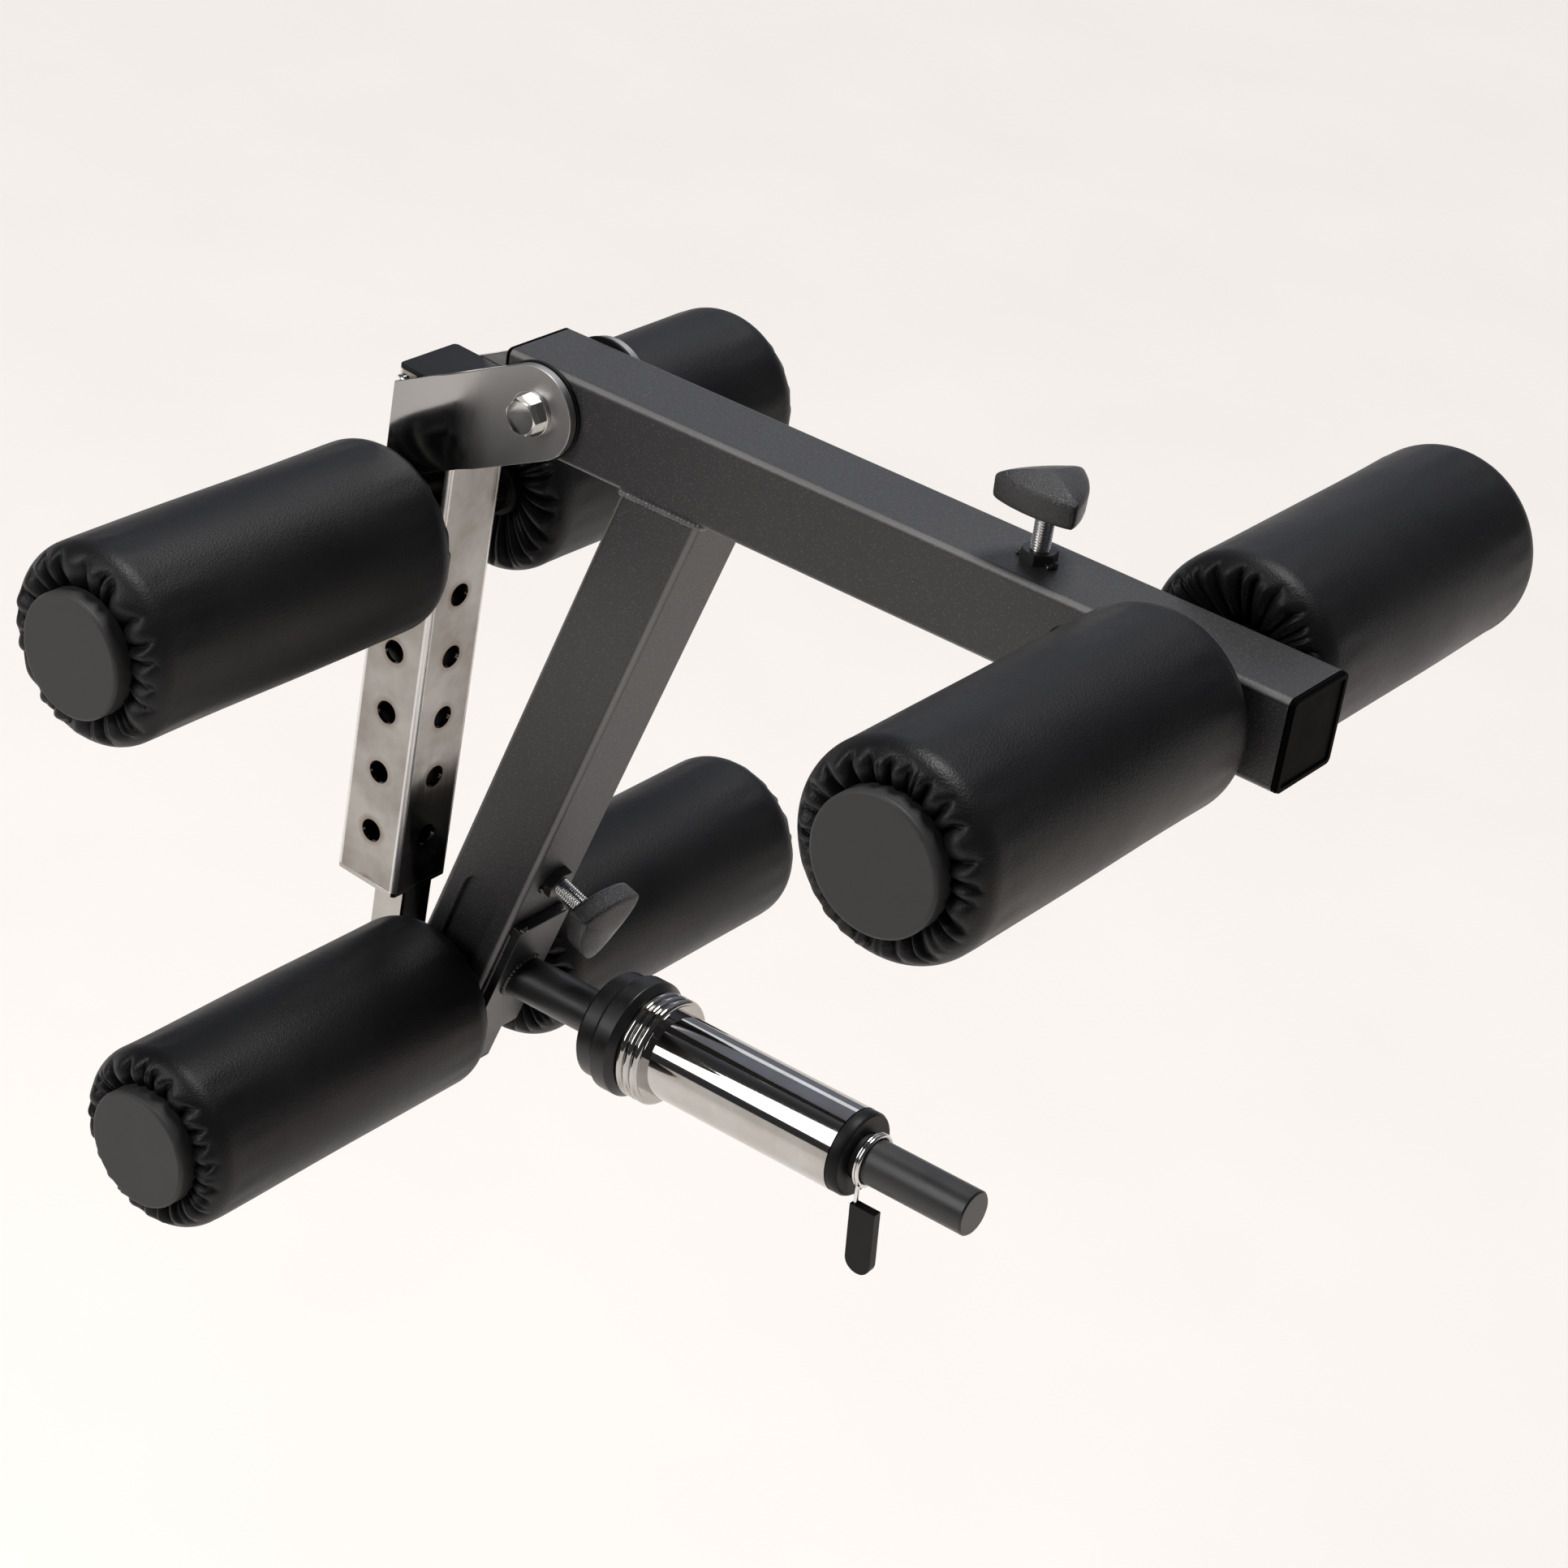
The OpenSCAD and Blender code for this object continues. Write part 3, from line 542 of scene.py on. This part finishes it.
def end_profile(barrel_r, hole_r, tuck, puff):
    """Half section of a gathered end, barrel to hole: radius, height past the end, normal, gather."""
    pts = []
    for a in np.radians(np.linspace(0, 90, 16)):
        gather = min(1.0, max(0.0, (math.degrees(a) - GATHER_START) / GATHER_SPAN))
        r = barrel_r - SHOULDER + SHOULDER * math.cos(a)
        pts.append((r, -SHOULDER + (SHOULDER + puff) * math.sin(a), math.cos(a), math.sin(a), gather))
    face_r = barrel_r - SHOULDER
    for u in np.linspace(0, 1, 15)[1:]:
        h = puff * math.cos(u * math.pi / 2) - tuck * u ** 1.8
        pts.append((face_r + (hole_r - face_r) * u, h, 0.0, 1.0, 1.0))
    return pts


def gathered_end(rng, theta, profile, depth, free_r):
    """Rows of points for one end: puffy folds between narrow valleys that fade out on the shoulder.

    The folds are depth high, and flatten where the cap or the core holds them, inside free_r.
    """
    count = int(rng.integers(22, 26))
    edges = (np.arange(count) + rng.uniform(-0.30, 0.30, count)) / count
    strength = rng.uniform(0.60, 1.0, count)
    reach = rng.uniform(0.0, 1.0, count)
    lift = rng.uniform(-0.5, 0.6, count)
    crease_at = rng.uniform(0.3, 0.7, count)
    crease = rng.uniform(0.0, 0.5, count) * (rng.random(count) < 0.5)
    bend = rng.uniform(-0.016, 0.016, count)
    rows = []
    for r, h, nr, nh, gather in profile:
        # Valleys wander sideways as they run out over the shoulder.
        t = (theta / (2 * math.pi) + 0.0015 * np.sin(5 * theta + 6 * gather)) % 1.0
        lines = (edges + bend * (1 - gather)) % 1.0
        order = np.argsort(lines)
        line = lines[order]
        nxt = np.searchsorted(line, t) % count
        prv = (nxt - 1) % count
        f = np.clip(((t - line[prv]) % 1.0) / ((line[nxt] - line[prv]) % 1.0), 0, 1)
        p, n = order[prv], order[nxt]
        k = strength[p] * (1 - f) + strength[n] * f
        # Each fold starts at its own place on the shoulder and swells in smoothly.
        start = 0.42 * (reach[p] * (1 - f) + reach[n] * f)
        grow = np.clip((gather - start) / (1.0 - start), 0, 1)
        grow = grow * grow * (3 - 2 * grow)
        # A full round hump between two valleys, with a crease along some of them.
        hump = np.sin(math.pi * f) ** 0.6
        hump = hump - crease[p] * np.exp(-((f - crease_at[p]) / 0.09) ** 2) * gather
        out = (depth * (hump - 0.68) * k + 0.9 * lift[p] * np.sin(math.pi * f)) * grow
        out = out * min(1.0, max(0.3, (r - free_r + 4) / 4))
        rr, hh = r + out * nr * 0.6, h + out * nh
        rows.append(np.stack([rr * np.cos(theta), rr * np.sin(theta), hh], -1))
    return np.array(rows)


def barrel(rng, theta, radius, length):
    """Rows of points between the two ends: faint long waves, and puckers near the shoulders."""
    wave = rng.uniform(0, 2 * math.pi, 4)
    rows = []
    for u in np.linspace(0, 1, 34)[1:-1]:
        z = SHOULDER + (length - 2 * SHOULDER) * u
        edge = math.exp(-min(u, 1 - u) * 11)
        d = 0.35 * np.sin(3 * theta + wave[0] + 5 * u) + 0.22 * np.sin(7 * theta + wave[1] - 9 * u)
        d += edge * (0.4 * np.sin(23 * theta + wave[2]) + 0.3 * np.sin(17 * theta + wave[3]))
        r = radius + d * 0.5
        rows.append(np.stack([r * np.cos(theta), r * np.sin(theta), np.full(AROUND, z)], -1))
    return np.array(rows)


def face_outward(ob, middle):
    """Normals of an open shell turned away from its middle, a point in metres."""
    bm = bmesh.new()
    bm.from_mesh(ob.data)
    bmesh.ops.recalc_face_normals(bm, faces=bm.faces)
    if sum(f.normal.dot(f.calc_center_median() - middle) for f in bm.faces) < 0:
        bmesh.ops.reverse_faces(bm, faces=bm.faces)
    bm.to_mesh(ob.data)
    bm.free()


def roller_cover(pair, side):
    """The gathered cover over one roller's foam, open at both ends, along Z of its own frame."""
    rng = np.random.default_rng(11 + 7 * PAIRS.index(pair) + 3 * SIDES.index(side))
    theta = np.arange(AROUND) / AROUND * 2 * math.pi
    dx, dz, shorter = SETTLED.get((pair, side), (0.0, 0.0, 0.0))
    barrel_r, length = ROLLER_R + PLUMP[pair, side], ROLLER_LEN - shorter
    under_cap = end_profile(barrel_r, CAP_R - 6, tuck=4.5, puff=2.6)
    at_core = end_profile(barrel_r, CORE_R + 2, tuck=7.0, puff=2.2)
    top = gathered_end(rng, theta, under_cap, depth=8.0, free_r=CAP_R)
    bottom = gathered_end(rng, theta, at_core, depth=6.5, free_r=CORE_R + 4)
    top[:, :, 2] += length
    bottom[:, :, 2] *= -1
    points = np.concatenate([bottom[::-1], barrel(rng, theta, barrel_r, length), top])
    way = -1 if side == "near" else 1
    origin = ROLLER_AXIS[pair] + Vector((dx, way * ROLLER_START[pair], dz))
    verts, faces = rings(points, turned(origin, (1, 0, 0), (0, way, 0)))
    ob = piece(f"{pair}_{side}_pad", verts, faces, "cover", f"{pair}_{side}_roller")
    face_outward(ob, MM * (origin + Vector((0, way * ROLLER_LEN / 2, 0))))
    skin = ob.modifiers.new("skin", "SOLIDIFY")
    skin.thickness = 1.2 * MM
    skin.offset = -1
    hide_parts(f"{pair}_{side}_cover", f"{pair}_{side}_foam")


for pair in PAIRS:
    for side in SIDES:
        roller_cover(pair, side)

# ---- clamp knobs -------------------------------------------------------------------


def knob_radius(angle):
    """Outline of the three-cornered head: flat arcs that meet in barely rounded corners."""
    side_at, side_r, corner_r, sharp = 18.5, 66.0, 27.5, 48
    a = (angle - math.radians(30)) % (2 * math.pi / 3)
    a = min(a, 2 * math.pi / 3 - a)
    c = side_at - side_r
    side = c * math.cos(a) + math.sqrt(side_r ** 2 - (c * math.sin(a)) ** 2)
    return (side ** -sharp + corner_r ** -sharp) ** (-1 / sharp)


# Rings of the head from the neck's foot to the crown: height, and distance inside the outline.
KNOB_LAYERS = (
    (-1.6, 19.0), (0.0, 18.5), (0.0, 3.0), (0.3, 1.5), (1.2, 0.6), (3.0, 0.2),
    (11.0, 0.0), (12.0, 0.25), (12.9, 0.9), (13.6, 1.9), (14.2, 3.1), (15.2, 5.6),
    (16.2, 8.4), (17.1, 11.4), (17.8, 14.4), (18.3, 17.4), (18.6, 20.0),
)
KNOB_MIDDLE_R = 22.0


def knob_head(which, place):
    angles = np.arange(240) / 240 * 2 * math.pi
    outline = np.array([knob_radius(a) for a in angles])
    rows = []
    for h, inside in KNOB_LAYERS:
        # The crown's rings grow rounder towards the middle.
        soft = min(1.0, max(0.0, inside - 6) / 16)
        r = (outline * (1 - soft) + KNOB_MIDDLE_R * soft) - inside
        z = np.full(len(angles), KNOB_GAP + h)
        rows.append(np.stack([r * np.cos(angles), r * np.sin(angles), z], -1))
    verts, faces = rings(np.array(rows), place, cap_ends=True)
    ob = piece(f"{which}_knob", verts, faces, "knob", f"{which}_knob")
    tidy(ob, 60)
    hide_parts(f"{which}_knob_head")


def threaded_stud(which, place):
    """The clamp screw's thread, one helix of ridges."""
    around, per_turn, depth = 48, 12, 0.92
    low, high = -TUBE_WALL, KNOB_GAP + 1.0
    z = np.arange(low, high + 1e-6, THREAD_PITCH / per_turn)
    t = np.arange(around) / around
    phase = (z[:, None] / THREAD_PITCH - t[None, :]) % 1.0
    ridge = np.clip((1 - np.abs(2 * phase - 1) - 0.1) / 0.72, 0, 1)
    r = STUD_R - depth + depth * ridge
    a = t * 2 * math.pi
    pts = np.stack([r * np.cos(a), r * np.sin(a), np.repeat(z[:, None], around, 1)], -1)
    verts, faces = rings(pts, place, cap_ends=True)
    ob = piece(f"{which}_thread", verts, faces, "thread", f"{which}_stud")
    tidy(ob, 60)
    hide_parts(f"{which}_knob_stud")


for which, place, turn in (("upper", UPPER_KNOB, 0), ("lower", LOWER_KNOB, -90)):
    knob_head(which, place @ Matrix.Rotation(math.radians(turn), 4, "Z"))
    threaded_stud(which, place)

# ---- welds ---------------------------------------------------------------------------


def point_at(points, lengths, s):
    """The point at a distance s along a path whose corners lie at the given lengths."""
    k = max(j for j in range(len(lengths)) if lengths[j] <= s + 1e-9)
    k = min(k, len(points) - 2)
    a, b = points[k], points[k + 1]
    return a.lerp(b, (s - lengths[k]) / max((b - a).length, 1e-9))


def bead(name, path, radius, ripple, seed, material, body, closed=False):
    """A weld bead: a slightly uneven rope of metal with a ripple, along a path in millimetres."""
    points = [Vector(p) for p in path]
    if closed:
        points.append(points[0])
    lengths = [0.0]
    for a, b in zip(points, points[1:]):
        lengths.append(lengths[-1] + (b - a).length)
    total, step, look, around = lengths[-1], 0.35, 1.2, 12
    n = max(8, int(total / step))
    phase = np.random.default_rng(seed).uniform(0, 6.28, 3)
    rows = []
    for i in range(n + (0 if closed else 1)):
        s = total * i / n
        c = point_at(points, lengths, s)
        behind = point_at(points, lengths, max(0.0, s - look))
        ahead = point_at(points, lengths, min(total, s + look))
        d = (ahead - behind).normalized()
        u = d.orthogonal().normalized() if abs(d.y) > 0.9 else d.cross(Vector((0, 1, 0))).normalized()
        v = d.cross(u).normalized()
        saw = (s / ripple + 0.08 * math.sin(s * 0.9 + phase[0])) % 1.0
        r = radius * (0.84 + 0.2 * math.sin(math.pi * saw) + 0.07 * math.sin(s * 0.55 + phase[1]))
        if not closed:
            r *= min(1.0, 0.35 + min(s, total - s) / (radius * 1.2))
        row = []
        for w in np.arange(around) / around * 2 * math.pi:
            row.append(tuple(c + u * (r * math.cos(w)) + v * (r * math.sin(w))))
        rows.append(row)
    verts, faces = rings(np.array(rows), cap_ends=not closed, closed_rows=closed)
    ob = piece(name, verts, faces, material, body)
    tidy(ob, 180)
    return ob


def on_lever_underside(x, y):
    """The point of the arm's outline (arm frame x, y) that lies on the lever's underside."""
    p, d = ARM @ Vector((x, y, 0)), ARM_UP
    plane = Vector(PIVOT) - LEV_Z * TUBE_W / 2
    t = (plane - p).dot(LEV_Z) / d.dot(LEV_Z)
    return p + d * t


def square_outline(half_side, corner):
    """Points of a square with rounded corners, in order."""
    points = []
    for cx, cy, start in ((1, 1, 0), (-1, 1, 90), (-1, -1, 180), (1, -1, 270)):
        for a in np.radians(np.linspace(start, start + 90, 6)):
            points.append((cx * (half_side - corner) + corner * math.cos(a),
                           cy * (half_side - corner) + corner * math.sin(a)))
    return points


half = TUBE_W / 2
outline = square_outline(half, 3.0)
arm_path = [on_lever_underside(x + math.copysign(0.4, x), y * 0.985) for x, y in outline]
arm_bead = bead("arm_weld_bead", arm_path, 2.1, 2.6, 4, "bead", "lever", closed=True)
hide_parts("arm_weld")

for k, y in enumerate((-PLATE_W / 2, PLATE_W / 2)):
    ends = [ARM @ Vector((half + 0.6, y, -BAR_ON_ARM + way * (PLATE_LEN / 2 - 5))) for way in (1, -1)]
    bead(f"plate_weld_{k}", ends, 1.5, 2.2, 20 + k, "paint", "lever")

ring_path = []
for a in np.linspace(0, 2 * math.pi, 40, endpoint=False):
    p = BAR @ Vector((BAR_R * math.cos(a), BAR_R * math.sin(a), 0))
    plane = ARM @ Vector((half + PLATE_T, 0, 0))
    t = (plane - p).dot(ARM_FRONT) / BAR_DIR.dot(ARM_FRONT)
    ring_path.append(p + BAR_DIR * t)
bead("bar_weld", ring_path, 2.2, 2.4, 31, "paint", "lever", closed=True)


def lump(name, place, size, material, body, seed):
    """A small blob of weld metal, size in millimetres along the axes of its place."""
    bm = bmesh.new()
    bmesh.ops.create_icosphere(bm, subdivisions=4, radius=1)
    for v in bm.verts:
        p = v.co.copy()
        swell = 1 + 0.13 * math.sin(4.3 * p.x + seed) + 0.10 * math.sin(5.1 * p.y + 2 * seed)
        swell += 0.06 * math.sin(9 * p.x * p.y + seed)
        v.co = (place @ Vector([c * s * swell for c, s in zip(p, size)])) * MM
    mesh = bpy.data.meshes.new(name)
    bm.to_mesh(mesh)
    bm.free()
    mesh.materials.append(M[material])
    placed(name, mesh, body)


def round_nut(base, angle):
    """Frame at the foot of a weld nut's side, X outward, at an angle round the stud."""
    return base @ Matrix.Rotation(math.radians(angle), 4, "Z") @ Matrix.Translation((NUT_R, 0, 0.6))


# Tack welds: the angle round each nut, and the size.
TACKS = {
    "upper": ((-175, (2.0, 2.6, 1.4)), (-15, (2.6, 3.6, 2.4))),
    "lower": ((-70, (2.2, 3.0, 1.8)), (20, (2.0, 2.6, 1.6))),
}
for which, base in (("upper", UPPER_KNOB), ("lower", LOWER_KNOB)):
    for k, (angle, size) in enumerate(TACKS[which]):
        lump(f"{which}_nut_tack_{k}", round_nut(base, angle), size, "weld", "lever", 5 + k)

plate_front = half + PLATE_T
for k, y in enumerate((-1, 1)):
    corner = (plate_front - 1.5, y * (PLATE_W / 2 - 4), -BAR_ON_ARM + PLATE_LEN / 2)
    spot = ARM @ Matrix.Translation(corner)
    lump(f"plate_spot_{k}", spot, (1.8, 2.8, 1.6), "weld", "lever", 9 + k)

# Tack welds between each ear and the post: X, Z and size.
EAR_TACKS = ((-17.5, 123.2, (3.4, 1.7, 1.9)), (-15.0, 64.4, (2.6, 1.4, 1.3)))
for side, way in (("near", -1), ("far", 1)):
    for k, (x, z, size) in enumerate(EAR_TACKS):
        spot = Matrix.Translation((x, way * (POST_W / 2 + 1.0), z))
        lump(f"ear_tack_{side}_{k}", spot, size, "tack", "post", 13 + k)

# ---- spring collar --------------------------------------------------------------------


def collar_wire(points):
    """The collar's round wire along a path in the bar's frame."""
    around = 20
    rows = []
    up = None
    for i, p in enumerate(points):
        d = (points[min(i + 1, len(points) - 1)] - points[max(i - 1, 0)]).normalized()
        if up is None:
            up = d.orthogonal().normalized()
        up = (up - d * up.dot(d)).normalized()
        side = d.cross(up)
        row = []
        for w in np.arange(around) / around * 2 * math.pi:
            row.append(tuple(p + up * (WIRE_R * math.cos(w)) + side * (WIRE_R * math.sin(w))))
        rows.append(row)
    verts, faces = rings(np.array(rows), BAR, cap_ends=True)
    ob = piece("collar_wire", verts, faces, "wire", "collar")
    tidy(ob, 60)
    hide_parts("collar_coil")


# The coil's turns almost touch, and its two legs leave it at their own angles round the bar.
pitch = 2 * WIRE_R - 0.15
coil_r = BAR_R + 0.06 + WIRE_R
legs = ((3.3, -LEG_SIDE), (51.0, LEG_SIDE))
z_ends = (COIL_AT + pitch * 0.5, COIL_AT + pitch * 1.5)


def leg_points(turn, side, z, reach):
    """Points along a leg, at distances reach, beside the bar at the leg's own turn."""
    m = Matrix.Rotation(math.radians(turn), 3, "Z")
    return [m @ Vector((r, side, 0)) + Vector((0, 0, z)) for r in reach]


leg_in = math.sqrt(coil_r ** 2 - LEG_SIDE ** 2)
reach = np.linspace(LEG_OUT, leg_in + 0.6, 10)
swing = math.degrees(math.atan2(LEG_SIDE, leg_in))
first, last = legs[0][0] - swing, legs[1][0] + swing
span = 720 - (last - first)
wire = leg_points(*legs[0], z_ends[0], reach)
for u in np.linspace(0, 1, 180):
    a = math.radians(first - span * u)
    z = z_ends[0] + (z_ends[1] - z_ends[0]) * u
    wire.append(Vector((coil_r * math.cos(a), coil_r * math.sin(a), z)))
wire += leg_points(*legs[1], z_ends[1], reach[::-1])
collar_wire(wire)

# ---- softened CAD pieces ----------------------------------------------------------------

SOFT_EDGES = {
    "ear_near": 0.5, "ear_far": 0.5, "post_top_cap": 0.7, "lever_front_cap": 0.7, "lever_rear_cap": 0.7,
    "arm_foot_cap": 0.7, "foot_plate": 0.4, "bar_base_plate": 0.7, "weld_nuts": 0.35, "pivot_bolt": 0.3,
    "pivot_lock_nut": 0.3, "pivot_washers": 0.4, "stop_buffer": 0.8, "bar_bumper": 0.6,
    "sleeve_end_plug": 0.8, "collar_grips": 1.0, "pivot_bushes": 0.3,
}
for node, width in SOFT_EDGES.items():
    softened(node, width)


def front_cap_rim():
    """The low raised border round the face of the lever's front cap."""
    sunk, rise, outer, width, corner = 0.4, 1.0, 0.5, 2.8, 3.4
    inner = outer + width
    rows = []
    for inset, x in ((outer, -sunk), (outer, rise), (inner, rise), (inner, -sunk)):
        ring = square_outline(TUBE_W / 2 - inset, corner - inset * 0.6)
        rows.append([(CAP_FACE + x, y, z) for y, z in ring])
    verts, faces = rings(np.array(rows), LEVER, closed_rows=True)
    rim = piece("front_cap_rim", verts, faces, "inset", "lever")
    tidy(rim, 30)
    rounded(rim, 0.35, 40)


front_cap_rim()

# ---- camera, light and floor ---------------------------------------------------------------


def aim(ob, target):
    """Turns a light's -Z towards a target."""
    d = Vector(target) - ob.location
    ob.rotation_euler = d.to_track_quat("-Z", "Y").to_euler()


# The camera looks down from the front and the near side, rolled a little on its own axis.
azimuth, elevation, roll = (math.radians(a) for a in (32.55, 31.2, 11.2))
level = Vector((-math.sin(azimuth), math.cos(azimuth), 0))
forward = level * math.cos(elevation) - Vector((0, 0, math.sin(elevation)))
level_right = Vector((math.cos(azimuth), math.sin(azimuth), 0))
level_up = level_right.cross(forward)
right = level_right * math.cos(roll) + level_up * math.sin(roll)
up = level_up * math.cos(roll) - level_right * math.sin(roll)
camera_data = bpy.data.cameras.new("camera")
camera_data.sensor_width = 36
camera_data.lens = 83.83
camera_data.clip_start, camera_data.clip_end = 0.05, 200
camera = bpy.data.objects.new("camera", camera_data)
bpy.context.scene.collection.objects.link(camera)
view = Matrix((right, up, -forward)).transposed().to_4x4()
view.translation = Vector((1.1405, -1.3852, 0.9919))
camera.matrix_world = view
bpy.context.scene.camera = camera

scene = bpy.context.scene
scene.view_settings.view_transform = "Standard"
scene.view_settings.look = "None"

world = bpy.data.worlds.new("room")
scene.world = world
world.use_nodes = True
room = world.node_tree
room.nodes.clear()
room_out = room.nodes.new("ShaderNodeOutputWorld")
room_light = room.nodes.new("ShaderNodeBackground")
direction = room.nodes.new("ShaderNodeTexCoord").outputs["Generated"]
room.links.new(room_light.outputs[0], room_out.inputs[0])

# A dark room with one soft round patch of light high behind the object.
ROOM_DARK = (0.05, 0.05, 0.055)
PATCH = (0.25, 0.265, 0.32)
PATCH_TOWARDS = (-0.35, 0.70, 0.62)
PATCH_EDGE, PATCH_CORE = 62, 20
dot = room.nodes.new("ShaderNodeVectorMath")
dot.operation = "DOT_PRODUCT"
dot.inputs[1].default_value = Vector(PATCH_TOWARDS).normalized()
room.links.new(direction, dot.inputs[0])
fall = room.nodes.new("ShaderNodeMapRange")
fall.interpolation_type = "SMOOTHSTEP"
fall.inputs["From Min"].default_value = math.cos(math.radians(PATCH_EDGE))
fall.inputs["From Max"].default_value = math.cos(math.radians(PATCH_CORE))
room.links.new(dot.outputs["Value"], fall.inputs["Value"])
sky = room.nodes.new("ShaderNodeMix")
sky.data_type = "RGBA"
room.links.new(fall.outputs["Result"], sky.inputs["Factor"])
sky.inputs[6].default_value = (*ROOM_DARK, 1)
sky.inputs[7].default_value = (*PATCH, 1)
room.links.new(sky.outputs[2], room_light.inputs["Color"])


def lamp(name, kind, location, target, power, colour):
    """A light at a place in metres, turned towards a target."""
    data = bpy.data.lights.new(name, kind)
    data.energy = power
    data.color = colour
    ob = bpy.data.objects.new(name, data)
    ob.location = location
    bpy.context.scene.collection.objects.link(ob)
    aim(ob, target)
    return data


def area(name, location, target, size, power, colour):
    """A soft rectangular light of the given width and height."""
    data = lamp(name, "AREA", location, target, power, colour)
    data.shape = "RECTANGLE"
    data.size, data.size_y = size


SOFT_WHITE = (1.0, 0.985, 0.97)
CENTRE = (0.25, 0.0, 0.0)
sun = lamp("key", "SUN", (-0.2, 0.75, 3.0), (0.0, 0.0, 0.0), 2.7, SOFT_WHITE)
sun.angle = math.radians(20)
area("front_soft", (-0.80, -1.75, 1.30), (0.25, 0.0, -0.05), (0.9, 1.8), 28, SOFT_WHITE)
area("warm_low", (2.2, 1.1, -0.9), CENTRE, (0.9, 0.5), 3, (1.0, 0.74, 0.54))
area("back_soft", (-1.25, 2.25, 1.35), CENTRE, (1.2, 0.6), 2.6, (0.90, 0.94, 1.0))

FLOOR_SIZE, FLOOR_Z = 240, -1.3
bpy.ops.mesh.primitive_plane_add(size=FLOOR_SIZE, location=(0, 0, FLOOR_Z))
floor = bpy.context.object
floor.name = "floor"
pale = Shader("pale_floor").set(Roughness=0.9, Specular_IOR_Level=0.1)
clouds = pale.remap(pale.noise(3), 0.3, 0.7, 0, 1)
pale.colour(pale.mix(clouds, (0.915, 0.875, 0.835), (0.935, 0.895, 0.855)))
floor.data.materials.append(pale.mat)
